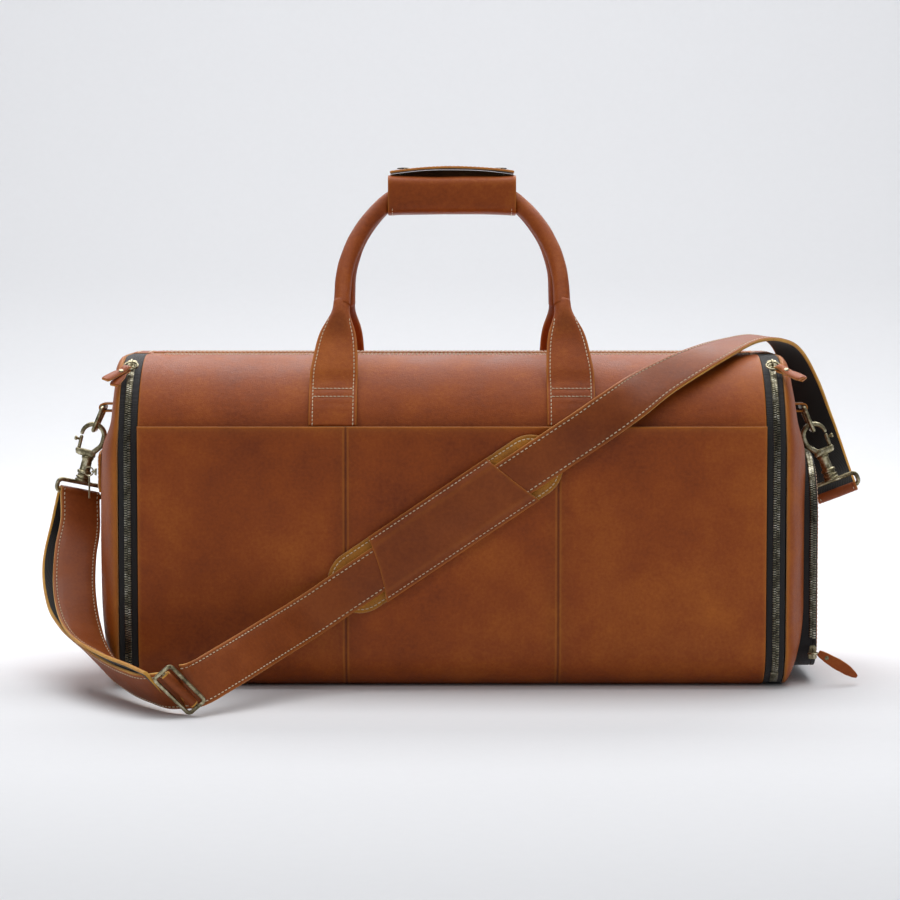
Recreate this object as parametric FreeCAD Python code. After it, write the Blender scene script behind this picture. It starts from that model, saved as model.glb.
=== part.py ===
"""Leather duffel bag with grip wrap, zips, shoe compartment and clip-on shoulder strap.

Frame: X along the bag, -Y towards its front, +Z up, origin at the middle of the base on the floor.
Millimetres. Each function below makes one sub-part.
"""
import FreeCAD, Part
import math
import os

V = FreeCAD.Vector

# ---- driving dimensions ----------------------------------------------------------------------
half_length = 275.0        # front and back panels, along X
half_depth = 130.0         # front face to middle
height = 291.0             # floor to flat top
corner_radius = 35.0       # bottom edges of the cross-section
shoulder_radius = 85.0     # top edges of the cross-section
leather = 2.5              # panel thickness
cloth = 1.0                # lining thickness
gap = 0.3                  # clearance between neighbours

zip_band_end = 292.0       # outer edge of the zip band round each end
left_bulge = 27.0          # how far the left end domes out past the zip band
right_bulge = 29.0         # the same on the right, behind the shoe compartment

mouth_left = -263.0        # ends of the main zip's mouth along X
mouth_right = 222.0
lip_hinge_y = 45.0         # fold line of each mouth lip
chain_half = 3.0           # half width of a zip chain
tape_edge = 15.0           # leather stops this far from the zip's centre line

pocket_top = 231.0         # top edge of the front slip pocket
pocket_outer = 134.0       # outer face of the slip pocket

handle_spacing = 104.5     # middle of each handle base, along X
base_width = 42.0
tube_radius = 7.6
core_radius = 5.0
grip_height = 438.5        # centre of the tubes inside the wrap
wrap_z = 434.4             # centre of the wrap
grip_spacing = 9.5         # front and back tubes, from the middle
wrap_half_length = 58.0
wrap_half_depth = 27.6
wrap_half_height = 18.4

shoe_half_width = 88.0     # shoe compartment's arch
shoe_bottom = 12.0
shoe_top = 202.0
shoe_top_radius = 55.0
shoe_bottom_radius = 24.0
shoe_zip_x = 321.3         # plane where the shoe zip parts
shoe_rim = 324.6           # outer edge of the shoe zip's tape
shoe_bulge = 2.6           # how far the shoe door rounds out beyond its rim

strap_width = 38.0
strap_thickness = 3.2
strap_slope = math.radians(33.9)
pad_centre = (-6.0, 146.0)  # X and Z of the shoulder pad's middle
strap_plane = 141.3        # the strap's mid-plane in front of the pocket
wire_radius = 2.0          # round wire of rings and hooks

# ---- derived -----------------------------------------------------------------------------------
corner_y = half_depth - corner_radius
shoulder_y = half_depth - shoulder_radius
shoulder_z = height - shoulder_radius
middle_z = 0.5 * height
half_turn = math.sqrt(0.5)
big = 1000.0


# ---- helpers -----------------------------------------------------------------------------------
def line(a, b):
    return Part.LineSegment(a, b).toShape()


def arc(a, b, c):
    return Part.Arc(a, b, c).toShape()


def box(x0, x1, y0, y1, z0, z1):
    return Part.makeBox(x1 - x0, y1 - y0, z1 - z0, V(x0, y0, z0))


def cylinder(start, direction, radius, length):
    return Part.makeCylinder(radius, length, start, direction)


def extruded(wire, vector):
    return Part.Face(wire).extrude(vector)


def outline(x, inset=0.0, scale=1.0):
    """The bag's cross-section at one X, moved in by inset, then scaled about its middle."""
    side = half_depth - inset
    top = height - inset
    low = corner_radius - inset
    high = shoulder_radius - inset

    def at(y, z):
        return V(x, y * scale, middle_z + (z - middle_z) * scale)

    def low_bend(sign):
        return at(sign * (corner_y + low * half_turn), corner_radius - low * half_turn)

    def high_bend(sign):
        return at(sign * (shoulder_y + high * half_turn), shoulder_z + high * half_turn)

    return Part.Wire([
        line(at(-corner_y, inset), at(corner_y, inset)),
        arc(at(corner_y, inset), low_bend(1), at(side, corner_radius)),
        line(at(side, corner_radius), at(side, shoulder_z)),
        arc(at(side, shoulder_z), high_bend(1), at(shoulder_y, top)),
        line(at(shoulder_y, top), at(-shoulder_y, top)),
        arc(at(-shoulder_y, top), high_bend(-1), at(-side, shoulder_z)),
        line(at(-side, shoulder_z), at(-side, corner_radius)),
        arc(at(-side, corner_radius), low_bend(-1), at(-corner_y, inset)),
    ])


def prism(inset, x0, x1):
    return extruded(outline(x0, inset), V(x1 - x0, 0, 0))


def ring(outer, inner, x0, x1):
    """Band of the cross-section between two insets."""
    return prism(outer, x0, x1).cut(prism(inner, x0 - 1, x1 + 1))


def dome(side, start, bulge, scale=1.0):
    """Solid end cap from X = start outwards; its sections shrink as a quarter ellipse."""
    steps = 6
    last = math.radians(80)
    wires = []
    for k in range(steps + 1):
        t = last * k / steps
        wires.append(outline(side * (start + bulge * math.sin(t)), 0.0, scale * math.cos(t)))
    return Part.makeLoft(wires, True, True)


def dome_shell(side, bulge):
    inner = dome(side, zip_band_end - leather, bulge, 1.0 - leather / half_depth)
    return dome(side, zip_band_end, bulge).cut(inner)


def arch(x, inset=0.0):
    """Outline of the shoe compartment, seen from the bag's end."""
    side = shoe_half_width - inset
    top = shoe_top - inset
    bottom = shoe_bottom + inset
    high = shoe_top_radius - inset
    low = shoe_bottom_radius - inset
    hy = shoe_half_width - shoe_top_radius
    hz = shoe_top - shoe_top_radius
    ly = shoe_half_width - shoe_bottom_radius
    lz = shoe_bottom + shoe_bottom_radius
    return Part.Wire([
        line(V(x, -ly, bottom), V(x, ly, bottom)),
        arc(V(x, ly, bottom), V(x, ly + low * half_turn, lz - low * half_turn), V(x, side, lz)),
        line(V(x, side, lz), V(x, side, hz)),
        arc(V(x, side, hz), V(x, hy + high * half_turn, hz + high * half_turn), V(x, hy, top)),
        line(V(x, hy, top), V(x, -hy, top)),
        arc(V(x, -hy, top), V(x, -hy - high * half_turn, hz + high * half_turn), V(x, -side, hz)),
        line(V(x, -side, hz), V(x, -side, lz)),
        arc(V(x, -side, lz), V(x, -ly - low * half_turn, lz - low * half_turn), V(x, -ly, bottom)),
    ])


def arch_band(outer, inner, x0, x1):
    along = V(x1 - x0, 0, 0)
    return extruded(arch(x0, outer), along).cut(extruded(arch(x0, inner), along))


def place(shape, origin, x_axis, z_axis):
    """Move a shape made at the origin so that its X and Z axes lie along the given directions."""
    z = V(z_axis).normalize()
    y = z.cross(V(x_axis)).normalize()
    x = y.cross(z)
    matrix = FreeCAD.Matrix(x.x, y.x, z.x, origin.x, x.y, y.y, z.y, origin.y,
                            x.z, y.z, z.z, origin.z, 0, 0, 0, 1)
    moved = shape.copy()
    moved.Placement = FreeCAD.Placement(matrix)
    return moved


def pipe(edges, radius):
    """Round bar along a path of tangent lines and arcs."""
    path = Part.Wire(edges)
    first = path.Edges[0]
    start = first.valueAt(first.FirstParameter)
    direction = first.tangentAt(first.FirstParameter)
    profile = Part.Wire([Part.Circle(start, direction, radius).toShape()])
    return path.makePipeShell([profile], True, False)


def rounded_path(points, radius, closed):
    """Edges through the points with each inner corner turned into an arc."""
    count = len(points)
    corners = range(count) if closed else range(1, count - 1)
    ends = {}
    edges = []
    for i in corners:
        before = (points[i - 1] - points[i]).normalize()
        after = (points[(i + 1) % count] - points[i]).normalize()
        half = 0.5 * before.getAngle(after)
        cut = radius / math.tan(half)
        bisector = (before + after).normalize()
        centre = points[i] + bisector * (radius / math.sin(half))
        ends[i] = (points[i] + before * cut, centre - bisector * radius, points[i] + after * cut)
    for i in range(count if closed else count - 1):
        j = (i + 1) % count
        a = ends[i][2] if i in ends else points[i]
        b = ends[j][0] if j in ends else points[j]
        if (b - a).Length > 1e-6:
            edges.append(line(a, b))
        if j in ends:
            edges.append(arc(*ends[j]))
    return edges


def ribbon(stations, width=strap_width, thickness=strap_thickness):
    """Flat strap: each station is a centre point and the direction of the strap's width."""
    wires = []
    last = len(stations) - 1
    for i, (point, across) in enumerate(stations):
        along = V(*stations[min(i + 1, last)][0]) - V(*stations[max(i - 1, 0)][0])
        side = V(*across).normalize()
        normal = along.cross(side).normalize()
        side = normal.cross(along).normalize()
        centre = V(*point)
        corners = []
        for u, v in ((-1, -1), (1, -1), (1, 1), (-1, 1)):
            corners.append(centre + side * (0.5 * u * width) + normal * (0.5 * v * thickness))
        wires.append(Part.makePolygon(corners + corners[:1]))
    return Part.makeLoft(wires, True, True)


def slab(start, end, facing, width, thickness):
    """Rounded leather tongue from start to end, its flat side towards facing."""
    along = V(*end) - V(*start)
    length = along.Length
    half = 0.5 * width
    wire = Part.Wire([
        line(V(-half, 0, half), V(-half, 0, length - half)),
        arc(V(-half, 0, length - half), V(0, 0, length), V(half, 0, length - half)),
        line(V(half, 0, length - half), V(half, 0, half)),
        arc(V(half, 0, half), V(0, 0, 0), V(-half, 0, half)),
    ])
    plate = extruded(wire, V(0, thickness, 0))
    plate.translate(V(0, -0.5 * thickness, 0))
    across = along.cross(V(*facing))
    return place(plate, V(*start), across, along)


def mirrored_y(shape):
    return shape.mirror(V(0, 0, 0), V(0, 1, 0))


def front_and_back(shape):
    return Part.makeCompound([shape, mirrored_y(shape)])


def save(name, shape):
    shape.exportStep("parts/" + name + ".step")


# ---- main body -----------------------------------------------------------------------------------
def front_panel():
    """Wraps from the bottom edge up the front and over the shoulder to the mouth lip's fold."""
    shell = ring(0.0, leather, -half_length, half_length)
    upper = box(-big, big, -big, -lip_hinge_y, middle_z, big)
    lower = box(-big, big, -big, -corner_y, -1, middle_z)
    return shell.common(upper.fuse(lower)).removeSplitter()


def back_panel():
    return mirrored_y(front_panel())


def bottom_panel():
    edge = corner_y - gap
    return ring(0.0, leather, -half_length, half_length).common(box(-big, big, -edge, edge, -1, 9))


def front_pocket():
    """One leather layer over the front, sewn along its sides, base and two uprights."""
    seam_x = 93.0
    seam_half = 1.6
    inner = half_depth + gap
    sheet_inner = pocket_outer - leather
    low = 30.0
    sheet = box(-half_length, half_length, -pocket_outer, -sheet_inner, low, pocket_top)
    seams = [-half_length + seam_half, -seam_x, seam_x, half_length - seam_half]
    solid = sheet
    for x in seams:
        solid = solid.fuse(box(x - seam_half, x + seam_half, -sheet_inner, -inner, low, shoulder_z))
    hem = box(-half_length, half_length, -sheet_inner, -inner, low, low + 6)
    return solid.fuse(hem).removeSplitter()


def mouth_end_patches():
    """Fixed leather at both ends of the mouth."""
    y = lip_hinge_y - gap
    left = box(-half_length, mouth_left - gap, -y, y, height - leather, height)
    right = box(mouth_right + gap, half_length, -y, y, height - leather, height)
    return Part.makeCompound([left, right])


def lining():
    """Cloth box of the main compartment with its mouth open."""
    left = -zip_band_end + 1
    right = 196.0
    outer_inset = leather + gap
    outer = prism(outer_inset, left, right)
    hollow = prism(outer_inset + cloth, left + cloth, right - cloth)
    slot_y = lip_hinge_y + 2
    mouth = box(mouth_left - 1, right - 6, -slot_y, slot_y, shoulder_z, big)
    zip_room = box(mouth_left - 1, right + 1, -slot_y, slot_y, height - 5, big)
    return outer.cut(hollow).cut(mouth).cut(zip_room)


def base_board():
    floor = leather + 2 * gap + cloth
    return box(-270, 188, -90, 90, floor, floor + 2.5)


# ---- end caps --------------------------------------------------------------------------------------
def end_gusset(side):
    """Leather between the back panel and the end panel, sewn, with no zip."""
    inner, outer = half_length + gap, zip_band_end - gap
    band = ring(0.0, leather, min(side * inner, side * outer), max(side * inner, side * outer))
    return band.common(box(-big, big, 0.2, big, -1, big))


def end_zip(side):
    """Tape and chain up the front edge and over the shoulder."""
    inner, outer = half_length + gap, zip_band_end - gap
    band = ring(0.8, 2.0, min(side * inner, side * outer), max(side * inner, side * outer))
    tape = band.common(box(-big, big, -big, -0.2, -1, big))
    middle = side * (half_length + 9.0)
    chain = ring(-1.2, 0.9, middle - chain_half, middle + chain_half)
    return tape.fuse(chain.common(box(-big, big, -big, -32, 9, big)))


def left_end_panel():
    return dome_shell(-1, left_bulge)


def right_end_panel():
    hole = extruded(arch(250, -gap), V(150, 0, 0))
    return dome_shell(1, right_bulge).cut(hole)


# ---- shoe compartment -----------------------------------------------------------------------------
def shoe_pouch():
    inset = 4.0
    deep, mouth = 200.0, 303.0
    outer = extruded(arch(deep, inset), V(mouth - deep, 0, 0))
    return outer.cut(extruded(arch(deep + cloth, inset + cloth), V(mouth, 0, 0)))


def shoe_chain(x0, x1):
    return arch_band(-1.8, 0.1, x0, x1).common(box(0, big, -big, big, 38, big))


def shoe_frame_zip():
    """Fixed half of the zip: its tape stands on the end panel."""
    tape = arch_band(0.0, 1.2, 296, shoe_zip_x - 0.15)
    band = tape.fuse(shoe_chain(shoe_zip_x - chain_half, shoe_zip_x - 0.15))
    return band.cut(dome(1, zip_band_end + 0.05, right_bulge))


def shoe_door_zip():
    """The half of the zip that swings with the door."""
    tape = arch_band(0.0, 1.2, shoe_zip_x + 0.15, shoe_rim)
    return tape.fuse(shoe_chain(shoe_zip_x + 0.15, shoe_zip_x + chain_half))


def shoe_door():
    """Outer leather of the shoe compartment, gently domed."""
    wires = []
    for share, inset in ((0.0, 0.0), (0.4, 1.5), (0.8, 8.0), (1.0, 20.0)):
        wires.append(arch(shoe_rim + share * shoe_bulge, inset))
    outer = Part.makeLoft(wires, True, True)
    inner = outer.copy()
    inner.translate(V(-leather, 0, 0))
    return outer.cut(inner)


# ---- mouth lips and main zip ----------------------------------------------------------------------
def lip(sign):
    return box(mouth_left, mouth_right, *sorted((sign * tape_edge, sign * (lip_hinge_y - gap))),
               height - leather, height)


def lip_zip(sign):
    """Tape under the lip's edge, with its half of the chain."""
    top = height - leather
    tape = box(mouth_left, mouth_right, *sorted((sign * 0.2, sign * 24.0)), top - 1.2, top)
    chain_y = sorted((sign * 0.2, sign * chain_half))
    return tape.fuse(box(mouth_left + 4, mouth_right, *chain_y, top, top + 1.6)).removeSplitter()


bridge_rise = 5.6
eye_rise = 3.3             # middle of the bridge's eye above the slider's underside


def slider_body(width, length, rise):
    """Zip slider: a flat shoe with a raised bridge; made at the origin, travelling along X."""
    plate = box(-0.5 * length, 0.5 * length, -0.5 * width, 0.5 * width, 0, 2.0)
    bridge = box(-0.34 * length, 0.34 * length, -1.2, 1.2, 2.0, rise)
    eye = box(-0.24 * length, 0.24 * length, -1.3, 1.3, 2.0, rise - 1.0)
    return plate.fuse(bridge.cut(eye)).removeSplitter()


main_slider_x = 258.0
main_slider_z = height + 0.4


def main_slider():
    body = slider_body(9.0, 13.0, bridge_rise)
    body.translate(V(main_slider_x, 0, main_slider_z))
    return body


def main_pull():
    """Metal ring and tongue lying back along the closed zip's end."""
    z = main_slider_z + eye_rise
    outer = cylinder(V(main_slider_x + 5.0, 0, z - 0.6), V(0, 0, 1), 5.0, 1.2)
    inner = cylinder(V(main_slider_x + 5.0, 0, z - 1), V(0, 0, 1), 3.4, 2)
    return outer.cut(inner)


# ---- end zip sliders ----------------------------------------------------------------------------------
end_slider_angle = math.radians(62)
end_slider_radius = shoulder_radius + 1.75


def shoulder_point(radius, angle, x):
    """Point at a radius and angle on the front shoulder; angle 0 faces the front, 90 degrees up."""
    return V(x, -shoulder_y - radius * math.cos(angle), shoulder_z + radius * math.sin(angle))


def shoulder_frame(shape, x, radius, angle):
    """Set a slider, made along X with +Z up, on the shoulder and travelling round it."""
    outward = V(0, -math.cos(angle), math.sin(angle))
    downward = V(0, -math.sin(angle), -math.cos(angle))
    return place(shape, shoulder_point(radius, angle, x), downward, outward)


def end_slider(side):
    x = side * (half_length + 9.0)
    return shoulder_frame(slider_body(9.0, 13.0, bridge_rise), x, end_slider_radius, end_slider_angle)


end_pull_drop = {-1: 1.8, 1: 1.0}    # how steeply each end's pull hangs, against its reach outwards


def end_pull(side):
    """Ring through the slider's bridge and a folded leather tongue with two tails."""
    x = side * (half_length + 9.0)
    outward = shoulder_point(1.0, end_slider_angle, 0) - shoulder_point(0.0, end_slider_angle, 0)
    downward = V(0, outward.z * -1, outward.y)
    away = (downward * end_pull_drop[side] + V(side, 0, 0)).normalize()
    ring_centre = shoulder_point(end_slider_radius + eye_rise, end_slider_angle, x) + downward * 6.0
    loop = Part.makeTorus(6.0, 0.75, ring_centre, outward)
    start = ring_centre + away * 4.4
    end = ring_centre + away * 36.0
    tongue = slab(start, end, outward, 9.0, 4.0)
    return Part.makeCompound([loop, tongue.cut(Part.makeTorus(6.0, 1.05, ring_centre, outward))])


# ---- side pocket on the left end -------------------------------------------------------------------
pocket_zip_z = 186.0
pocket_zip_radius = 580.0   # the pocket's zip runs on this gentle curve, about a vertical axis
pocket_zip_front = -(zip_band_end + left_bulge + 2.0)
pocket_axis_x = pocket_zip_front + pocket_zip_radius


def pocket_band(outer, inner, half_span, z0, z1):
    """Curved upright strip across the left end, down to the end panel's surface."""
    origin = V(pocket_axis_x, 0, z0)
    up = V(0, 0, 1)
    curve = cylinder(origin, up, pocket_zip_radius + outer, z1 - z0)
    curve = curve.cut(cylinder(origin, up, pocket_zip_radius + inner, z1 - z0))
    return curve.common(box(-400, -280, -half_span, half_span, z0, z1))


def pocket_welt():
    """Leather frame sewn round the side pocket's zip."""
    frame = pocket_band(0.0, -12.0, 78.0, pocket_zip_z - 17, pocket_zip_z + 17)
    slot = box(-400, -280, -68, 68, pocket_zip_z - 6, pocket_zip_z + 6)
    return frame.cut(slot).cut(dome(-1, zip_band_end + 0.05, left_bulge))


def pocket_zip():
    tape = pocket_band(-0.6, -1.4, 67.7, pocket_zip_z - 5.7, pocket_zip_z + 5.7)
    chain = pocket_band(0.9, -0.8, 64.0, pocket_zip_z - 2.2, pocket_zip_z + 2.2)
    return tape.fuse(chain).cut(dome(-1, zip_band_end + 0.05, left_bulge))


pocket_slider_y = -56.0


def pocket_point(rise, y):
    radius = pocket_zip_radius + rise
    return V(pocket_axis_x - math.sqrt(radius * radius - y * y), y, pocket_zip_z)


def pocket_slider():
    outward = pocket_point(1.0, pocket_slider_y) - V(pocket_axis_x, 0, pocket_zip_z)
    body = slider_body(7.0, 10.0, bridge_rise - 0.6)
    return place(body, pocket_point(1.3, pocket_slider_y), V(0, 1, 0), outward)


def pocket_pull():
    """Small ring and metal tongue hanging from the pocket's slider."""
    top = pocket_point(8.1, pocket_slider_y)
    loop = Part.makeTorus(3.8, 0.5, top, V(0, 1, 0))
    tongue = box(-1.0, 1.0, -3.0, 3.0, -24.0, -3.6)
    tongue.translate(top)
    return loop.fuse(tongue)


# ---- shoe compartment's slider ------------------------------------------------------------------------
shoe_slider_z = 27.0


def shoe_slider():
    body = slider_body(8.0, 12.0, bridge_rise)
    origin = V(shoe_zip_x, -shoe_half_width - 2.2, shoe_slider_z)
    return place(body, origin, V(0, 0, 1), V(0, -1, 0))


def shoe_pull():
    """Small ring and a leaf-shaped leather tongue hanging outwards."""
    eye_y = -shoe_half_width - 2.2 - eye_rise
    centre = V(shoe_zip_x, eye_y - 4.4, shoe_slider_z)
    loop = Part.makeTorus(4.4, 0.7, centre, V(0, 0, 1))
    start = (shoe_zip_x + 4.5, eye_y - 8.2, shoe_slider_z + 1.0)
    end = (shoe_zip_x + 38.0, eye_y - 10.0, 7.0)
    tongue = slab(start, end, (0, -1, 0), 10.0, 2.4)
    return Part.makeCompound([loop, tongue.cut(Part.makeTorus(4.4, 1.1, centre, V(0, 0, 1)))])


# ---- handles -------------------------------------------------------------------------------------------
lean_start = V(0, -109.4, 266.5)    # foot of the front handle's plane, behind the bag's middle X
lean_top = V(0, -grip_spacing, grip_height)
lean = (lean_top - lean_start).normalize()
lean_height = (lean_top - lean_start).Length
neck_top = 79.0
bend_s = lean_height - 12.3          # where the tube's bow tightens towards the grip


def on_lean(x, s, out=0.0):
    """Point on the front handle's plane: s up the plane, out away from the bag."""
    normal = V(0, -lean.z, lean.y)
    return lean_start + V(x, 0, 0) + lean * s + normal * out


def handle_tabs():
    """Flat sewn bases of the front handle, from the pocket's edge to the foot of its necks."""
    outer = ring(-3.0, -0.05, -handle_spacing - 0.5 * base_width, handle_spacing + 0.5 * base_width)
    tabs = []
    for x in (-handle_spacing, handle_spacing):
        region = box(x - 0.5 * base_width, x + 0.5 * base_width, -big, -100, pocket_top + gap, 265.5)
        tabs.append(outer.common(region))
    return Part.makeCompound(tabs)


def handle_necks():
    """Leather that gathers from the flat base into the rolled tube."""
    sections = [(handle_spacing, 4.0, 21.0, 2.0), (102.8, 28.0, 19.5, 2.6), (101.4, 52.0, 16.0, 4.6),
                (99.9, 67.0, 10.0, 7.0), (98.5, neck_top - gap, tube_radius, tube_radius)]
    necks = []
    for sign in (-1, 1):
        wires = []
        for x, s, half_wide, half_thick in sections:
            points = []
            for k in range(12):
                t = 2 * math.pi * (k + 0.5) / 12
                u = math.copysign(abs(math.cos(t)) ** 0.7, math.cos(t))
                v = math.copysign(abs(math.sin(t)) ** 0.7, math.sin(t))
                points.append(on_lean(sign * x + u * half_wide, s, v * half_thick))
            wires.append(Part.makePolygon(points + points[:1]))
        necks.append(Part.makeLoft(wires, True, True))
    return Part.makeCompound(necks)


def tube_path():
    """Up from the left neck, round to the grip, across it and down to the right neck."""
    radius = 129.9
    centre_x, centre_s = 32.3, 94.2

    def on_curve(s):
        return centre_x - math.sqrt(radius * radius - (s - centre_s) ** 2)

    low, mid = 98.0, 148.0
    turn = math.asin((bend_s - centre_s) / radius)
    flat = lean_height
    small = (flat - bend_s) / (1 - math.sin(turn))
    top_x = on_curve(bend_s) + small * math.cos(turn)
    half = 0.5 * (turn + 0.5 * math.pi)
    bow_x = top_x - small * math.cos(half)
    bow_s = flat - small + small * math.sin(half)
    slope = (low - centre_s) / radius
    foot = on_curve(low) - slope * (low - neck_top)

    def side(sign):
        return [line(on_lean(sign * foot, neck_top), on_lean(sign * on_curve(low), low)),
                arc(on_lean(sign * on_curve(low), low), on_lean(sign * on_curve(mid), mid),
                    on_lean(sign * on_curve(bend_s), bend_s)),
                arc(on_lean(sign * on_curve(bend_s), bend_s), on_lean(sign * bow_x, bow_s),
                    on_lean(sign * top_x, flat))]

    across = line(on_lean(top_x, flat), on_lean(-top_x, flat))
    return side(1) + [across] + side(-1)[::-1]


def handle_tube():
    return handle_bar(tube_radius).cut(handle_bar(core_radius + gap))


def handle_bar(radius):
    path = Part.Wire(Part.__sortEdges__(tube_path()))
    edge = path.Edges[0]
    end = path.Vertexes[0].Point
    first = edge.valueAt(edge.FirstParameter)
    at_start = (first - end).Length < 1e-6
    direction = edge.tangentAt(edge.FirstParameter if at_start else edge.LastParameter)
    profile = Part.Wire([Part.Circle(end, direction, radius).toShape()])
    return path.makePipeShell([profile], True, False)


def rounded_block(x0, x1, half_y, half_z, centre_z, radius):
    shape = box(x0, x1, -half_y, half_y, centre_z - half_z, centre_z + half_z)
    along = [e for e in shape.Edges if abs(e.tangentAt(e.FirstParameter).x) > 0.9]
    return shape.makeFillet(radius, along)


def grip_wrap():
    outer = rounded_block(-wrap_half_length, wrap_half_length, wrap_half_depth, wrap_half_height,
                          wrap_z, 11.0)
    inner = rounded_block(-wrap_half_length - 1, wrap_half_length + 1, wrap_half_depth - leather,
                          wrap_half_height - leather, wrap_z, 8.5)
    return outer.cut(inner)


def grip_padding():
    """Foam between the two tubes and the wrap."""
    trim = leather + gap
    block = rounded_block(-wrap_half_length + 6, wrap_half_length - 6, wrap_half_depth - trim,
                          wrap_half_height - trim, wrap_z, 8.0)
    front = handle_bar(tube_radius + gap)
    return block.cut(front).cut(mirrored_y(front))


snap_x = 44.0
flap_z = wrap_z + wrap_half_height + 1.3


def grip_flap():
    """Closing flap over the top of the wrap, slightly arched, held by two snaps."""
    half_x = wrap_half_length - 1.5
    rise = 1.6
    wire = Part.Wire([
        arc(V(-half_x, 0, flap_z), V(0, 0, flap_z + rise), V(half_x, 0, flap_z)),
        line(V(half_x, 0, flap_z), V(half_x, 0, flap_z + 2.2)),
        arc(V(half_x, 0, flap_z + 2.2), V(0, 0, flap_z + rise + 2.2), V(-half_x, 0, flap_z + 2.2)),
        line(V(-half_x, 0, flap_z + 2.2), V(-half_x, 0, flap_z)),
    ])
    plate = extruded(wire, V(0, 37, 0))
    plate.translate(V(0, -20.0, 0))
    return plate


def snap_caps():
    caps = []
    for x in (-snap_x, snap_x):
        caps.append(cylinder(V(x, -8, flap_z + 3.15), V(0, 0, 1), 6.0, 1.4))
    return Part.makeCompound(caps)


def snap_studs():
    studs = []
    for x in (-snap_x, snap_x):
        studs.append(cylinder(V(x, -8, wrap_z + wrap_half_height), V(0, 0, 1), 3.5, 1.0))
    return Part.makeCompound(studs)


# ---- rings, hooks and strap -----------------------------------------------------------------------------
class Hanger:
    """One end's fixed loop, D-ring, snap hook and strap ring, and how they hang."""

    def __init__(self, side, surface, tilt, across):
        self.side = side
        self.pin = V(side * (surface + 4.2), 0, 241.0)
        self.down = V(side * math.sin(tilt), 0, -math.cos(tilt))
        ring_tilt = math.radians(24)
        self.ring_down = V(side * math.sin(ring_tilt), 0, -math.cos(ring_tilt))
        self.eye = self.pin + self.ring_down * 23.0 + self.down * 5.2
        self.across = across
        sideways = V(self.down.z, 0, -self.down.x) * (-side)
        self.sideways = sideways

    def put(self, shape):
        """Set a hook part, made with +Z up the shank and +X away from the bag, in place."""
        return place(shape, self.eye, self.sideways, self.down * -1)


left_hanger = Hanger(-1, 314.8, math.radians(14), V(0.86, 0.44, -0.27))
right_hanger = Hanger(1, 317.3, math.radians(22), V(0.92, -0.16, 0.36))


def ring_tab(hanger):
    """Leather loop sewn on the end panel; it holds the D-ring's straight bar."""
    centre = hanger.pin
    tube = cylinder(centre - V(0, 11, 0), V(0, 1, 0), 4.0, 22)
    x = sorted((hanger.side * 300, centre.x + hanger.side * 0.5))
    tail = box(x[0], x[1], -11, 11, centre.z - 0.2, centre.z + 4.0)
    low_tail = box(x[0], x[1], -11, 11, centre.z - 4.0, centre.z + 0.2)
    hole = cylinder(centre - V(0, 12, 0), V(0, 1, 0), wire_radius + gap, 24)
    bulge = left_bulge if hanger.side < 0 else right_bulge
    body = tube.fuse(tail).fuse(low_tail).cut(hole)
    return body.cut(dome(hanger.side, zip_band_end + 0.05, bulge)).removeSplitter()


def d_ring(hanger):
    """D-shaped ring hanging in its tab."""
    down = hanger.ring_down
    pin = hanger.pin
    width = 15.0
    y = V(0, 1, 0)
    bottom = pin + down * 23.0
    points = [pin - y * width, pin + y * width, bottom + y * 9.5, bottom - y * 9.5]
    start = 0.5 * (points[0] + points[1])
    edges = rounded_path([start] + points[1:] + points[:1] + [start], 3.2, False)
    return pipe(edges, wire_radius)


def hook(hanger):
    """Open hook, its head and its barrel in one casting."""
    r = 10.0
    shank = rounded_path([V(-3.0, 0, -15), V(-r, 0, -7), V(-r, 0, 0)], 3.0, False)
    bend = [arc(V(-r, 0, 0), V(0, 0, r), V(r, 0, 0)), line(V(r, 0, 0), V(r, 0, -1.6))]
    curve = pipe(shank + bend, 2.3)
    head = box(-6.0, 13.0, -3.2, 3.2, -20.0, -14.0)
    barrel = cylinder(V(0, 0, -36.0), V(0, 0, 1), 5.5, 16.5)
    rim = cylinder(V(0, 0, -36.0), V(0, 0, 1), 6.6, 2.5)
    bolt_hole = cylinder(V(r, 0, -25), V(0, 0, 1), 2.0, 15)
    post_hole = cylinder(V(0, 0, -37), V(0, 0, 1), 2.75, 13.0)
    body = curve.fuse(head).fuse(barrel).fuse(rim).cut(bolt_hole).cut(post_hole)
    return hanger.put(body.removeSplitter())


def hook_bolt(hanger):
    """Sprung bolt that closes the hook, with its thumb stud."""
    bolt = cylinder(V(10.0, 0, -19.5), V(0, 0, 1), 1.7, 17.2)
    stud = cylinder(V(10.0, 0, -6.0), V(1, 0, 0), 1.5, 6.0)
    return hanger.put(bolt.fuse(stud))


def strap_ring(hanger):
    """Swivel post, base and the rectangular ring that carries the strap."""
    post = cylinder(V(0, 0, -44), V(0, 0, 1), 2.4, 18.0)
    base = Part.makeCone(7.0, 5.6, 7.4, V(0, 0, -43.8), V(0, 0, 1))
    body = hanger.put(post.fuse(base).removeSplitter())
    top, bottom, half = strap_ring_corners(hanger)
    points = [top, top + half, bottom + half, bottom - half, top - half, top]
    loop = pipe(rounded_path(points, 3.5, False), 1.9)
    return body.fuse(loop).removeSplitter()


def strap_ring_corners(hanger):
    across = V(hanger.across)
    across = (across - hanger.down * across.dot(hanger.down)).normalize()
    top = hanger.eye + hanger.down * 45.0
    bottom = hanger.eye + hanger.down * 56.0
    return top, bottom, across * 22.5


def strap_offset(hanger):
    """From the ring bar's middle to the middle of the strap passing behind it."""
    half = strap_ring_corners(hanger)[2]
    normal = half.cross(hanger.down).normalize()
    return normal * math.copysign(3.9, normal.y)


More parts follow.
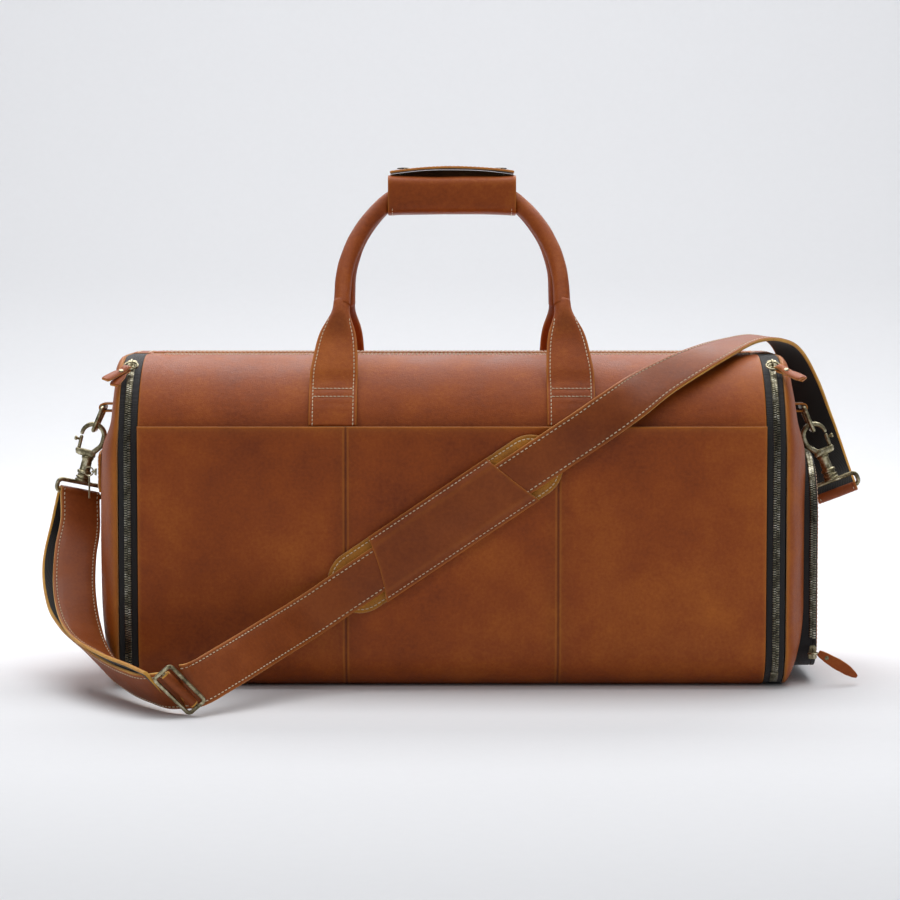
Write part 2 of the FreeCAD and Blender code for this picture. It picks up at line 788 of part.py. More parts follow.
def strap_sleeve(hanger):
    """The strap's end folded round the ring's lower bar."""
    bottom, half = strap_ring_corners(hanger)[1:]
    across = V(half).normalize()
    outer = cylinder(bottom - across * 18.5, across, 5.6, 37.0)
    return outer.cut(cylinder(bottom - across * 20, across, 2.2, 40.0))


def slider_bar_frame():
    """Direction of the buckle's bar and the way it faces."""
    return V(0.68, 0.16, -0.72).normalize(), V(-0.1, -0.96, -0.2)


buckle_centre = V(-225.0, -281.0, 22.7)


def slide_buckle():
    """Flat rectangular frame with a middle bar; the strap's length is set through it."""
    across, facing = slider_bar_frame()
    outer = box(-11.0, 11.0, -22.3, 22.3, -1.6, 1.6)
    corners = [e for e in outer.Edges if abs(e.tangentAt(e.FirstParameter).z) > 0.9]
    outer = outer.makeFillet(4.0, corners)
    left = box(-7.8, -1.7, -19.2, 19.2, -3, 3)
    right = box(1.7, 7.8, -19.2, 19.2, -3, 3)
    frame = outer.cut(left).cut(right)
    along = across.cross(facing)
    return place(frame, buckle_centre, along, facing)


def strap_long_run():
    """From the buckle across the front, over the shoulder and round to the right ring."""
    u, w = pad_centre
    c, s = math.cos(strap_slope), math.sin(strap_slope)
    flat = (s, 0, -c)

    def on_line(distance):
        return (u + distance * c, -strap_plane, w + distance * s)

    bottom, half = strap_ring_corners(right_hanger)[1:]
    end = bottom + strap_offset(right_hanger)
    run = ribbon([
        ((-213, -277, 25), (0.66, 0.15, -0.73)), ((-188, -247, 37), (0.62, 0.12, -0.78)),
        ((-152, -193, 54), (0.58, 0.05, -0.81)), ((-122, -154, 69), (0.56, 0.0, -0.83)),
        (on_line(-107), flat), (on_line(-90), flat), (on_line(110), flat), (on_line(153), flat),
        ((150, -134.5, 251), (0.59, -0.24, -0.77)), ((177, -112.5, 268), (0.62, -0.535, -0.573)),
        ((226, -80, 292), (0.725, -0.639, -0.258)), ((262, -30, 303), (0.74, -0.67, -0.02)),
        ((289, 3, 304), (0.70, -0.71, -0.08)), ((309, 27, 295.5), (0.67, -0.73, -0.14)),
        ((327, 44, 262), (0.74, -0.67, 0.0)), ((339, 48, 224), (0.84, -0.50, 0.12)),
        (tuple(end + V(-4.2, 21.0, 18.2)), (0.92, -0.3, 0.28)), (tuple(end), tuple(half)),
    ])
    return run.fuse(strap_sleeve(right_hanger))


def strap_short_loop():
    """From the buckle's bar up to the left ring, round it and back down to the buckle."""
    bottom, half = strap_ring_corners(left_hanger)[1:]
    offset = strap_offset(left_hanger)
    near = ribbon([
        (tuple(bottom - offset), tuple(half)),
        ((-339.5, -20, 135), (0.86, 0.38, -0.25)), ((-340, -50, 112), (0.92, 0.20, -0.20)),
        ((-337, -84, 84), (0.93, 0.25, -0.10)), ((-328, -120, 60), (0.90, 0.36, -0.20)),
        ((-313, -158, 43), (0.80, 0.44, -0.42)), ((-286, -205, 32), (0.68, 0.42, -0.60)),
        ((-258, -247, 26), (0.66, 0.28, -0.70)), ((-243, -271, 23), (0.66, 0.2, -0.72)),
    ])
    far = ribbon([
        (tuple(bottom + offset), tuple(half)),
        ((-352, 5, 130), (0.86, 0.42, -0.20)), ((-355, -26, 95), (0.88, 0.45, -0.05)),
        ((-346, -66, 66), (0.86, 0.50, -0.06)), ((-331, -106, 46), (0.78, 0.50, -0.36)),
        ((-312, -152, 31), (0.60, 0.36, -0.70)), ((-285, -203, 22.0), (0.58, 0.30, -0.76)),
        ((-264, -240, 19.5), (0.60, 0.26, -0.75)), ((-247, -263, 18.8), (0.64, 0.2, -0.74)),
    ])
    return near.fuse(far).fuse(strap_sleeve(left_hanger))


# ---- shoulder pad -----------------------------------------------------------------------------------------
def pad_place(shape):
    """Set a shape made along X, width along Y and thickness along Z, flat on the strap's line."""
    c, s = math.cos(strap_slope), math.sin(strap_slope)
    return place(shape, V(pad_centre[0], 0, pad_centre[1]), V(c, 0, s), V(0, -1, 0))


def pad_outline(half_length_, half_width, tip, z):
    """Long shape with rounded, narrowed ends."""
    shoulder = half_length_ - 16.0
    right = [line(V(-shoulder, -half_width, z), V(shoulder, -half_width, z)),
             line(V(shoulder, -half_width, z), V(half_length_ - 6, -tip, z)),
             arc(V(half_length_ - 6, -tip, z), V(half_length_, 0, z), V(half_length_ - 6, tip, z)),
             line(V(half_length_ - 6, tip, z), V(shoulder, half_width, z)),
             line(V(shoulder, half_width, z), V(-shoulder, half_width, z)),
             line(V(-shoulder, half_width, z), V(-half_length_ + 6, tip, z)),
             arc(V(-half_length_ + 6, tip, z), V(-half_length_, 0, z), V(-half_length_ + 6, -tip, z)),
             line(V(-half_length_ + 6, -tip, z), V(-shoulder, -half_width, z))]
    return Part.Wire(right)


def pad_base():
    low = pocket_outer + 0.5
    high = strap_plane - 0.5 * strap_thickness - gap
    return pad_place(extruded(pad_outline(118.0, 28.0, 17.0, low), V(0, 0, high - low)))


def pad_sleeve():
    """Leather cover over the strap, sewn to the base along both long edges."""
    half_x, half_y = 72.0, 28.0
    low = strap_plane - 0.5 * strap_thickness - gap
    top = strap_plane + 0.5 * strap_thickness + 2.3
    body = box(-half_x, half_x, -half_y, half_y, low, top)
    channel_y = 0.5 * strap_width + 0.8
    channel_top = strap_plane + 0.5 * strap_thickness + gap
    return pad_place(body.cut(box(-big, big, -channel_y, channel_y, low - 1, channel_top)))


def main():
    os.makedirs("parts", exist_ok=True)
    shapes = {
        "front_panel": front_panel(), "back_panel": back_panel(), "bottom_panel": bottom_panel(),
        "front_pocket": front_pocket(), "mouth_end_patches": mouth_end_patches(),
        "lining": lining(), "base_board": base_board(),
        "left_end_panel": left_end_panel(), "right_end_panel": right_end_panel(),
        "shoe_pouch": shoe_pouch(), "shoe_door": shoe_door(),
        "shoe_frame_zip": shoe_frame_zip(), "shoe_door_zip": shoe_door_zip(),
        "shoe_zip_slider": shoe_slider(), "shoe_zip_pull": shoe_pull(),
        "main_zip_slider": main_slider(), "main_zip_pull": main_pull(),
        "side_pocket_welt": pocket_welt(), "side_pocket_zip": pocket_zip(),
        "side_pocket_slider": pocket_slider(), "side_pocket_pull": pocket_pull(),
        "handle_bases": front_and_back(handle_tabs()),
        "handle_necks": front_and_back(handle_necks()),
        "front_handle_tube": handle_tube(), "back_handle_tube": mirrored_y(handle_tube()),
        "handle_cores": front_and_back(handle_bar(core_radius)),
        "grip_wrap": grip_wrap(), "grip_padding": grip_padding(), "grip_flap": grip_flap(),
        "snap_caps": snap_caps(), "snap_studs": snap_studs(),
        "slide_buckle": slide_buckle(), "strap_long_run": strap_long_run(),
        "strap_short_loop": strap_short_loop(),
        "shoulder_pad_base": pad_base(), "shoulder_pad_sleeve": pad_sleeve(),
    }
    for name, side in (("left", -1), ("right", 1)):
        shapes[name + "_end_gusset"] = end_gusset(side)
        shapes[name + "_end_zip"] = end_zip(side)
        shapes[name + "_end_zip_slider"] = end_slider(side)
        shapes[name + "_end_zip_pull"] = end_pull(side)
    for name, sign in (("front", -1), ("back", 1)):
        shapes[name + "_mouth_lip"] = lip(sign)
        shapes[name + "_mouth_zip"] = lip_zip(sign)
    for name, hanger in (("left", left_hanger), ("right", right_hanger)):
        shapes[name + "_ring_tab"] = ring_tab(hanger)
        shapes[name + "_d_ring"] = d_ring(hanger)
        shapes[name + "_hook"] = hook(hanger)
        shapes[name + "_hook_bolt"] = hook_bolt(hanger)
        shapes[name + "_strap_ring"] = strap_ring(hanger)
    for name, shape in shapes.items():
        save(name, shape)


main()
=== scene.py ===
"""Looks of the leather duffel bag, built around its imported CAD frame.

Sizes are in millimetres and turned to metres when a mesh is made. X runs along the bag,
-Y is its front and +Z is up.
"""
import math

import bmesh
import bpy
import numpy as np
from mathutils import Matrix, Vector


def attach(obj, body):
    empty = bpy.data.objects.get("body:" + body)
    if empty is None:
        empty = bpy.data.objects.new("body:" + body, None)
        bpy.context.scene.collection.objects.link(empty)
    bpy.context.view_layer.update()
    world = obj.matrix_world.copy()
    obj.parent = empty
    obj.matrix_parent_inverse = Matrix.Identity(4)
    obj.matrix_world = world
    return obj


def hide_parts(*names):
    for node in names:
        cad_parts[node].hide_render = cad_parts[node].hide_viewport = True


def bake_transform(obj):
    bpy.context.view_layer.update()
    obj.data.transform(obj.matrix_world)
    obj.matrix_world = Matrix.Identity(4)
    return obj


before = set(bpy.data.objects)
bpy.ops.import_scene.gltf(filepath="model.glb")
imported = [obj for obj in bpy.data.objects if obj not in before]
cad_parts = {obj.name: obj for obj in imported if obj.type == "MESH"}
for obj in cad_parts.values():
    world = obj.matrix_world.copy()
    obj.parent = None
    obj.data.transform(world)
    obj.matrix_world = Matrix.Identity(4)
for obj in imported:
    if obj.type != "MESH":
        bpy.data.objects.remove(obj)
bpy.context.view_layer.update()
MM = 0.001

# ---- camera ----
camera_data = bpy.data.cameras.new("camera")
camera_data.lens = 114.5
camera = bpy.data.objects.new("camera", camera_data)
bpy.context.scene.collection.objects.link(camera)
camera.location = (-0.0018, -2.624, 0.3845)
aim = Vector((-0.0018, -0.13, 0.2105)) - camera.location
camera.rotation_euler = aim.to_track_quat("-Z", "Y").to_euler()
bpy.context.scene.camera = camera


# ---- materials ----
def srgb(text):
    """Linear colour from a hex value."""
    parts = [int(text[i:i + 2], 16) / 255 for i in (0, 2, 4)]
    return tuple(((c + 0.055) / 1.055) ** 2.4 if c > 0.04045 else c / 12.92 for c in parts) + (1.0,)


class Shader:
    """A Principled material with short ways to add and link nodes."""

    def __init__(self, name):
        self.mat = bpy.data.materials.new(name)
        self.mat.use_nodes = True
        self.tree = self.mat.node_tree
        self.bsdf = self.tree.nodes["Principled BSDF"]
        self.coords = self.tree.nodes.new("ShaderNodeTexCoord").outputs["Object"]

    def node(self, kind, inputs=None, **settings):
        made = self.tree.nodes.new(kind)
        for key, value in settings.items():
            setattr(made, key, value)
        for key, value in (inputs or {}).items():
            if isinstance(value, bpy.types.NodeSocket):
                self.tree.links.new(value, made.inputs[key])
            else:
                made.inputs[key].default_value = value
        return made

    def link(self, value, socket):
        self.tree.links.new(value, self.bsdf.inputs[socket])

    def stretched(self, scale):
        return self.node("ShaderNodeMapping", {"Vector": self.coords, "Scale": scale}).outputs[0]

    def noise(self, scale, detail=3.0, rough=0.5, vector=None):
        return self.node("ShaderNodeTexNoise", {"Vector": vector or self.coords, "Scale": scale,
                                                "Detail": detail, "Roughness": rough}).outputs["Fac"]

    def math(self, operation, a, b):
        return self.node("ShaderNodeMath", {0: a, 1: b}, operation=operation).outputs[0]

    def weighted(self, *pairs):
        """Sum of values times their weights."""
        total = None
        for value, weight in pairs:
            part = self.math("MULTIPLY", value, weight)
            total = part if total is None else self.math("ADD", total, part)
        return total

    def settings(self, **values):
        """Plain values of the Principled node's inputs, with _ for a space in the name."""
        for name, value in values.items():
            self.bsdf.inputs[name.replace("_", " ")].default_value = value

    def attribute(self, name):
        return self.node("ShaderNodeAttribute", attribute_name=name).outputs["Fac"]

    def ramp(self, value, stops):
        made = self.node("ShaderNodeValToRGB", {"Fac": value})
        points = made.color_ramp.elements
        while len(points) < len(stops):
            points.new(0.5)
        for point, (place, colour) in zip(points, stops):
            point.position = place
            point.color = colour
        return made.outputs["Color"]

    def mix(self, factor, a, b):
        made = self.node("ShaderNodeMix", data_type="RGBA")
        for socket, value in zip((made.inputs["Factor"], made.inputs[6], made.inputs[7]), (factor, a, b)):
            if isinstance(value, bpy.types.NodeSocket):
                self.tree.links.new(value, socket)
            else:
                socket.default_value = value
        return made.outputs[2]

    def tones(self, value, *stops):
        """Base colour from a ramp of (place, hex colour) stops."""
        self.link(self.ramp(value, [(place, srgb(text)) for place, text in stops]), "Base Color")

    def spread(self, value, low, high):
        return self.node("ShaderNodeMapRange", {"Value": value, "From Min": 0.3, "From Max": 0.7,
                                                "To Min": low, "To Max": high}).outputs[0]

    def bump(self, height, distance, strength=1.0, under=None):
        inputs = {"Height": height, "Distance": distance, "Strength": strength}
        if under is not None:
            inputs["Normal"] = under
        return self.node("ShaderNodeBump", inputs).outputs[0]


def leather(name, dark, mid, light, edge, rough=(0.46, 0.6), grain=0.5):
    """Pull-up leather: mottled tone, fine pores, soft creases, faint scuffs, paler worn edges and painted
    shading in seams and folds.
    """
    s = Shader(name)
    clouds = s.noise(6.5, 3.0)
    blotches = s.noise(34.0, 5.0, 0.6)
    flecks = s.noise(330.0, 4.0, 0.65)
    tone = s.weighted((clouds, 0.45), (blotches, 0.3), (flecks, 0.25))
    colour = s.ramp(tone, [(0.30, srgb(dark)), (0.5, srgb(mid)), (0.70, srgb(light))])
    scuffs = s.noise(30.0, 6.0, 0.7, s.stretched((1.0, 1.0, 7.0)))
    scuff_mask = s.ramp(scuffs, [(0.60, (0, 0, 0, 1)), (0.74, (0.35, 0.35, 0.35, 1))])
    colour = s.mix(scuff_mask, colour, srgb(light))
    worn = s.math("MULTIPLY", s.attribute("wear"), s.spread(blotches, 0.55, 1.0))
    colour = s.mix(worn, colour, srgb(edge))
    # Painted shading: the shade attribute darkens seams, grooves, folds and undersides towards near-black
    # brown, standing in for the shadow there.
    colour = s.mix(s.attribute("painted_shade"), colour, srgb("2A1206"))
    s.link(colour, "Base Color")
    s.link(s.spread(blotches, rough[0], rough[1]), "Roughness")
    s.settings(Specular_IOR_Level=0.26, Coat_Weight=0.03, Coat_Roughness=0.35)
    pores = s.node("ShaderNodeTexVoronoi", {"Vector": s.coords, "Scale": 820.0, "Randomness": 1.0},
                   feature="DISTANCE_TO_EDGE").outputs["Distance"]
    creases = s.noise(95.0, 6.0, 0.6, s.stretched((1.0, 1.0, 1.6)))
    normal = s.bump(creases, 0.0011, 0.35)
    normal = s.bump(pores, 0.0005, grain, normal)
    normal = s.bump(s.noise(2600.0, 2.0), 0.0002, 0.35, normal)
    s.link(normal, "Normal")
    return s.mat


def fibrous(name, dark, light, scale=900.0, rough=0.88, sheen=0.25):
    """Suede, raw cut edges and foam: short fuzzy fibres."""
    s = Shader(name)
    fuzz = s.noise(scale, 6.0, 0.75)
    patches = s.noise(60.0, 4.0, 0.6)
    tone = s.weighted((fuzz, 0.55), (patches, 0.45))
    s.tones(tone, (0.36, dark), (0.62, light))
    s.link(s.spread(fuzz, rough - 0.1, rough), "Roughness")
    s.settings(Sheen_Weight=sheen, Sheen_Roughness=0.5)
    s.link(s.bump(fuzz, 0.0008, 0.8), "Normal")
    return s.mat


def woven(name, dark, light, pitch):
    """Plain-woven cloth: two crossed sets of threads of the given pitch in metres."""
    s = Shader(name)
    scale = 2 * math.pi / (20.0 * pitch)
    sets = []
    for turn in ((0.0, 0.0, math.radians(45)), (0.0, math.radians(90), math.radians(45))):
        turned = s.node("ShaderNodeMapping", {"Vector": s.coords, "Rotation": turn}).outputs[0]
        sets.append(s.node("ShaderNodeTexWave", {"Vector": turned, "Scale": scale, "Distortion": 0.6,
                                                 "Detail Scale": 3.0}).outputs["Fac"])
    threads = s.math("MULTIPLY", sets[0], sets[1])
    fuzz = s.noise(1400.0, 4.0)
    tone = s.weighted((threads, 0.6), (fuzz, 0.4))
    s.tones(tone, (0.2, dark), (0.8, light))
    s.link(s.spread(fuzz, 0.72, 0.88), "Roughness")
    s.settings(Sheen_Weight=0.15)
    s.link(s.bump(threads, 0.0003, 0.8), "Normal")
    return s.mat


def metal(name, dark, mid, light, rough=(0.26, 0.46)):
    """Antique brass: brown patina in the hollows, rubbed brighter in patches."""
    s = Shader(name)
    patina = s.noise(170.0, 5.0, 0.65)
    fine = s.noise(1500.0, 3.0)
    tone = s.weighted((patina, 0.75), (fine, 0.25))
    s.tones(tone, (0.36, dark), (0.5, mid), (0.66, light))
    s.settings(Metallic=1.0)
    s.link(s.spread(patina, rough[1], rough[0]), "Roughness")
    s.link(s.bump(fine, 0.00015, 0.5), "Normal")
    return s.mat


PANEL = leather("panel_leather", "6E2C08", "964611", "B4621F", "B86E22")
STRAP = leather("strap_leather", "682B0A", "864014", "9E521E", "B86C24", rough=(0.44, 0.56), grain=0.35)
RAW = fibrous("raw_leather_edge", "A5601C", "D2892F")
STRAP_RAW = fibrous("strap_raw_edge", "C98325", "E7B04A")
SUEDE = fibrous("mustard_suede", "8E560A", "C4811C", 700.0, 0.95, 0.5)
FLESH = fibrous("leather_flesh_side", "6B4526", "96683F", 500.0)
TAPE = woven("zip_tape", "141213", "2B282A", 0.0007)
STRAP_CLOTH = woven("strap_backing", "0E0D0B", "272622", 0.0009)
LINING = woven("lining_cloth", "2A2622", "4B443C", 0.0006)
BRASS = metal("antique_brass", "4A4434", "988F70", "DAD4B8")
CHAIN = metal("zip_chain_brass", "4C473A", "96907A", "DEDACB", (0.24, 0.4))
DARK = metal("blackened_brass", "15130F", "3A352A", "7C735A")
THREAD = fibrous("cream_thread", "C9B78F", "F1E6CB", 1800.0, 0.8, 0.1)
BOARD = fibrous("base_board", "3B3732", "5A544C", 300.0)
FOAM = fibrous("foam", "2A2725", "46413D", 1200.0)
ROPE = fibrous("rope_core", "B7A88A", "DCCFB4", 900.0)

# Outer face, cut edge and inner face of each kind of sheet.
SKIN = (PANEL, RAW, FLESH)
STRAP_SKIN = (STRAP, STRAP_RAW, STRAP_CLOTH)
TAPES = (TAPE,) * 3
LININGS = (LINING,) * 3


# ---- mesh helpers ----
def unit(v):
    v = np.asarray(v, float)
    return v / np.maximum(np.linalg.norm(v, axis=-1, keepdims=True), 1e-12)


def grids(*values):
    """Numbers and arrays as float arrays of one shape."""
    return [np.asarray(v, float) for v in np.broadcast_arrays(*values)]


def net(us, vs):
    """Two grids from the lines along each way."""
    return np.meshgrid(us, vs, indexing="ij")


def xyz(*parts):
    """Points from coordinates that may be numbers, rows or grids."""
    return np.stack(np.broadcast_arrays(*parts), -1)


def piece(name, verts, faces, mats, kinds=None, flat=(), points=None, body="bag", cad=""):
    """A mesh object from millimetres: kinds is each face's material, flat the materials left unsmoothed.

    The first material decides the slot. A piece with no body is left unattached. cad names the CAD nodes that
    the piece stands for.
    """
    mesh = bpy.data.meshes.new(name)
    mesh.from_pydata([tuple(p) for p in np.asarray(verts) * MM], [], [tuple(f) for f in faces])
    for mat in mats:
        mesh.materials.append(mat)
    if kinds is not None:
        mesh.polygons.foreach_set("material_index", np.asarray(kinds, np.int32))
    for key, values in (points or {}).items():
        mesh.attributes.new(key, "FLOAT", "POINT").data.foreach_set("value", np.asarray(values, np.float32))
    bm = bmesh.new()
    bm.from_mesh(mesh)
    loose = [v for v in bm.verts if not v.link_faces]
    bmesh.ops.delete(bm, geom=loose, context="VERTS")
    bmesh.ops.recalc_face_normals(bm, faces=bm.faces)
    for face in bm.faces:
        face.smooth = face.material_index not in flat
    bm.to_mesh(mesh)
    bm.free()
    obj = bpy.data.objects.new(name, mesh)
    bpy.context.scene.collection.objects.link(obj)
    if body:
        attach(obj, body)
    if cad:
        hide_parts(*cad.split())
    return obj


def spaced(low, high, step, marks=()):
    """Grid lines from low to high, closer together near the two ends and near each mark."""
    near = (0.0, 0.4, 1.0, 2.0, 4.0)
    found = list(np.linspace(low, high, max(2, int(round((high - low) / step)) + 1)))
    found += [low + n for n in near] + [high - n for n in near]
    for mark in marks:
        found += [mark + n * sign for n in (0.0, 0.7, 1.4, 2.1, 3.0, 5.0, 8.0) for sign in (-1, 1)]
    found = sorted(v for v in found if low <= v <= high)
    kept = [found[0]]
    for v in found[1:]:
        if v - kept[-1] > 0.3:
            kept.append(v)
    kept[-1] = high
    return np.array(kept)


def ripple(a, b, seed, shortest=110.0, longest=280.0, count=8):
    """Smooth random waves, about -1 to 1."""
    rng = np.random.default_rng(seed)
    total = 0.0
    for _ in range(count):
        angle, phase = rng.uniform(0, 2 * math.pi, 2)
        wave = rng.uniform(shortest, longest)
        total = total + np.cos(2 * math.pi * (a * math.cos(angle) + b * math.sin(angle)) / wave + phase)
    return total / math.sqrt(2.0 * count)


def dents(*where):
    """The same waves, from about 0 to 1."""
    return 0.5 + 0.5 * ripple(*where)


def smooth(v, low, high):
    """Smooth step from 0 at low to 1 at high."""
    t = np.clip((v - low) / (high - low), 0, 1)
    return t * t * (3 - 2 * t)


def sheet(name, P, N, thick, mats, mask=None, closed=False, wear=None, painted_shade=None, drop=0.45, **kw):
    """A closed thick sheet: P is its outer surface as a grid of points, N the way outwards.

    mats are the outer face, the cut edge and the inner face. mask is False where a cell is cut out.
    """
    P, N = np.asarray(P, float), np.asarray(N, float)
    nu, nv = P.shape[:2]
    cu = nu if closed else nu - 1
    if mask is None:
        mask = np.ones((cu, nv - 1), bool)
    # How many lines each point is from a cut edge: 0 where it touches fewer than four cells.
    touch = np.zeros((nu, nv), int)
    for di, dj in ((0, 0), (0, 1), (1, 0), (1, 1)):
        rows = (np.arange(cu) + di) % nu
        touch[rows[:, None], np.arange(nv - 1)[None] + dj] += mask
    level = np.where(touch < 4, 0, 9)
    for ring in (1, 2, 3):
        near = np.pad(level < ring, 1)
        if closed:
            near[0], near[-1] = near[-2], near[1]
        beside = near[1:-1, 1:-1] | near[1:-1, 2:] | near[1:-1, :-2] | near[2:, 1:-1] | near[:-2, 1:-1]
        level[beside & (level > ring)] = ring
    lower = np.choose(np.minimum(level, 3), [drop, 0.28 * drop, 0.0, 0.0])
    outer = P - N * lower[..., None]
    inner = P - N * (thick - 0.4 * lower)[..., None]
    worn = np.choose(np.minimum(level, 4), [1.0, 0.75, 0.3, 0.08, 0.0])
    worn = np.maximum(worn, 0 if wear is None else wear)
    # The shade values are painted shading, mixed into the outer face's colour; there is none unless they are
    # given.
    dark = np.zeros((nu, nv)) if painted_shade is None else painted_shade
    n = nu * nv
    faces, kinds = [], []
    for i, j in zip(*np.nonzero(mask)):
        k = (i + 1) % nu
        a, b, c, d = i * nv + j, k * nv + j, k * nv + j + 1, i * nv + j + 1
        faces += [(a, b, c, d), (a + n, d + n, c + n, b + n)]
        kinds += [0, 2]
        before = mask[(i - 1) % cu, j] if (closed or i > 0) else False
        after = mask[(i + 1) % cu, j] if (closed or i < cu - 1) else False
        edges = [(not before, a, d), (not after, b, c), (j == 0 or not mask[i, j - 1], a, b),
                 (j == nv - 2 or not mask[i, j + 1], d, c)]
        for bare, p, q in edges:
            if bare:
                faces.append((p, q, q + n, p + n))
                kinds.append(1)
    verts = np.concatenate([outer.reshape(-1, 3), inner.reshape(-1, 3)])
    values = {"wear": np.concatenate([worn.ravel(), np.zeros(n)]),
              "painted_shade": np.concatenate([dark.ravel(), np.zeros(n)])}
    return piece(name, verts, faces, mats, kinds, flat=(1,), points=values, **kw)


def carried(path, hint=(0, 0, 1)):
    """Tangents and two steady cross directions along a path."""
    path = np.asarray(path, float)
    along = unit(np.gradient(path, axis=0))
    side = unit(np.cross(along[0], hint) if abs(np.dot(along[0], unit(hint))) < 0.95
                else np.cross(along[0], (0.3, 1.0, 0.2)))
    sides = []
    for t in along:
        side = unit(side - t * np.dot(side, t))
        sides.append(side)
    sides = np.array(sides)
    return along, sides, np.cross(along, sides)


def tube_faces(count, m, closed=False):
    """Faces between count rings of m points, and two end caps unless the rings close on themselves."""
    faces = [(i * m + j, i * m + (j + 1) % m, (i + 1) % count * m + (j + 1) % m, (i + 1) % count * m + j)
             for i in range(count if closed else count - 1) for j in range(m)]
    if not closed:
        faces += [tuple(range(m))[::-1], tuple((count - 1) * m + j for j in range(m))]
    return faces


def swept(name, path, profile, mats, sides, ups, kinds=None, cap=0, **kw):
    """Sweeps a closed profile, one (side, up) point list for all stations or one per station."""
    path, profile = np.asarray(path, float), np.asarray(profile, float)
    if profile.ndim == 2:
        profile = np.repeat(profile[None], len(path), 0)
    rings = (path[:, None] + sides[:, None] * profile[..., :1] + ups[:, None] * profile[..., 1:])
    count, m = rings.shape[:2]
    marks = list(kinds or [0] * m) * (count - 1) + [cap, cap]
    return piece(name, rings.reshape(-1, 3), tube_faces(count, m), mats, marks, **kw)


def power_curve(angles, power):
    """Cosine and sine raised to a power with their signs kept: square-ish below 1."""
    c, s = np.cos(angles), np.sin(angles)
    return np.sign(c) * np.abs(c) ** power, np.sign(s) * np.abs(s) ** power


def circle(radius, sides=16):
    t = np.linspace(0, 2 * math.pi, sides, endpoint=False)
    return np.stack([np.cos(t), np.sin(t)], -1) * radius


def squircle(half_u, half_v, power, sides=24):
    """Rounded rectangle as a profile."""
    t = np.linspace(0, 2 * math.pi, sides, endpoint=False) + math.pi / sides
    u, v = power_curve(t, power)
    return np.stack([u * half_u, v * half_v], -1)


def curve_through(points, step=2.0):
    """Smooth line through points of any dimension, evenly divided."""
    p = np.asarray(points, float)
    gap = np.linalg.norm(np.diff(p[:, :3], axis=0), axis=1) ** 0.5
    t = np.concatenate([[0], np.cumsum(gap)])
    slope = np.gradient(p, t, axis=0)
    out = []
    for i in range(len(p) - 1):
        h = t[i + 1] - t[i]
        n = max(2, int(np.linalg.norm(p[i + 1, :3] - p[i, :3]) / step))
        for u in np.arange(n) / n:
            out.append((2 * u**3 - 3 * u**2 + 1) * p[i] + (u**3 - 2 * u**2 + u) * h * slope[i]
                       + (3 * u**2 - 2 * u**3) * p[i + 1] + (u**3 - u**2) * h * slope[i + 1])
    out.append(p[-1])
    return np.array(out)


def resampled(path, step):
    """The same line, evenly divided."""
    path = np.asarray(path, float)
    gone = np.concatenate([[0], np.cumsum(np.linalg.norm(np.diff(path[:, :3], axis=0), axis=1))])
    want = np.linspace(0, gone[-1], max(2, int(round(gone[-1] / step)) + 1))
    return np.stack([np.interp(want, gone, path[:, k]) for k in range(path.shape[1])], -1)


# ---- sewing ----
STITCH, THREAD_R = 2.7, 0.42
threads = {}


def sew(group, path, normals, pitch=3.7, lift=0.12):
    """Adds a row of stitches along a path on a surface to a named group."""
    path, normals = np.asarray(path, float), np.asarray(normals, float)
    if normals.ndim == 1:
        normals = np.repeat(normals[None], len(path), 0)
    both = resampled(np.concatenate([path, normals], 1), pitch)
    middle = 0.5 * (both[1:] + both[:-1])
    along = unit(both[1:, :3] - both[:-1, :3])
    up = unit(middle[:, 3:])
    threads.setdefault(group, []).append((middle[:, :3] + up * lift, along, up))


def make_threads(group, body, blend=None):
    """One object of all the stitches in a group: short tapered threads that dip at both ends."""
    place, along, up = (np.concatenate(v) for v in zip(*threads[group]))
    side = np.cross(along, up)
    stations = [(-0.5, 0.45, -0.9), (-0.36, 0.95, -0.25), (0.0, 1.0, 0.0), (0.36, 0.95, -0.25),
                (0.5, 0.45, -0.9)]
    ring = circle(1.0, 6)
    lean_over = 0.07
    verts = []
    for x, r, z in stations:
        for c, s in ring:
            verts.append(along * (x * STITCH) + side * (c * r * THREAD_R + x * STITCH * lean_over)
                         + up * (s * r * THREAD_R * 0.85 + z * THREAD_R))
    verts = place[:, None] + np.stack(verts, 1)
    count = verts.shape[1]
    cells = tube_faces(len(stations), len(ring))
    faces = [tuple(v + k * count for v in face) for k in range(len(place)) for face in cells]
    obj = piece("stitches_" + group, verts.reshape(-1, 3), faces, [THREAD], body=None if blend else body)
    if blend:
        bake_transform(obj)
    return obj


# ---- the bag's cross-section ----
HALF_LENGTH, HALF_DEPTH, HEIGHT = 275.0, 130.0, 291.0
CORNER, SHOULDER = 35.0, 85.0
S_CORNER = HALF_DEPTH - CORNER
S_SIDE = S_CORNER + CORNER * math.pi / 2
S_SHOULDER = S_SIDE + HEIGHT - CORNER - SHOULDER
S_TOP = S_SHOULDER + SHOULDER * math.pi / 2
S_END = S_TOP + HALF_DEPTH - SHOULDER


def section(s, side=-1):
    """Point (y, z) and outward (y, z) at a distance round the section from the base's middle."""
    s = np.asarray(s, float)
    low = np.clip((s - S_CORNER) / CORNER, 0, math.pi / 2)
    high = np.clip((s - S_SHOULDER) / SHOULDER, 0, math.pi / 2)
    y = np.clip(s, 0, S_CORNER) + CORNER * np.sin(low) - SHOULDER * (1 - np.cos(high))
    y = y - np.clip(s - S_TOP, 0, None)
    z = CORNER * (1 - np.cos(low)) + np.clip(s - S_SIDE, 0, S_SHOULDER - S_SIDE) + SHOULDER * np.sin(high)
    ny = np.sin(low) * np.cos(high)
    nz = np.where(s < S_SIDE, -np.cos(low), np.sin(high))
    return side * y, z, side * ny, nz


def on_shell(x, s, out=0.0, side=-1):
    """Points and normals on the shell at length x and girth s, moved outwards by out."""
    x, s, out = grids(x, s, out)
    y, z, ny, nz = section(s, side)
    normal = xyz(0.0, ny, nz)
    return xyz(x, y, z) + normal * out[..., None], normal


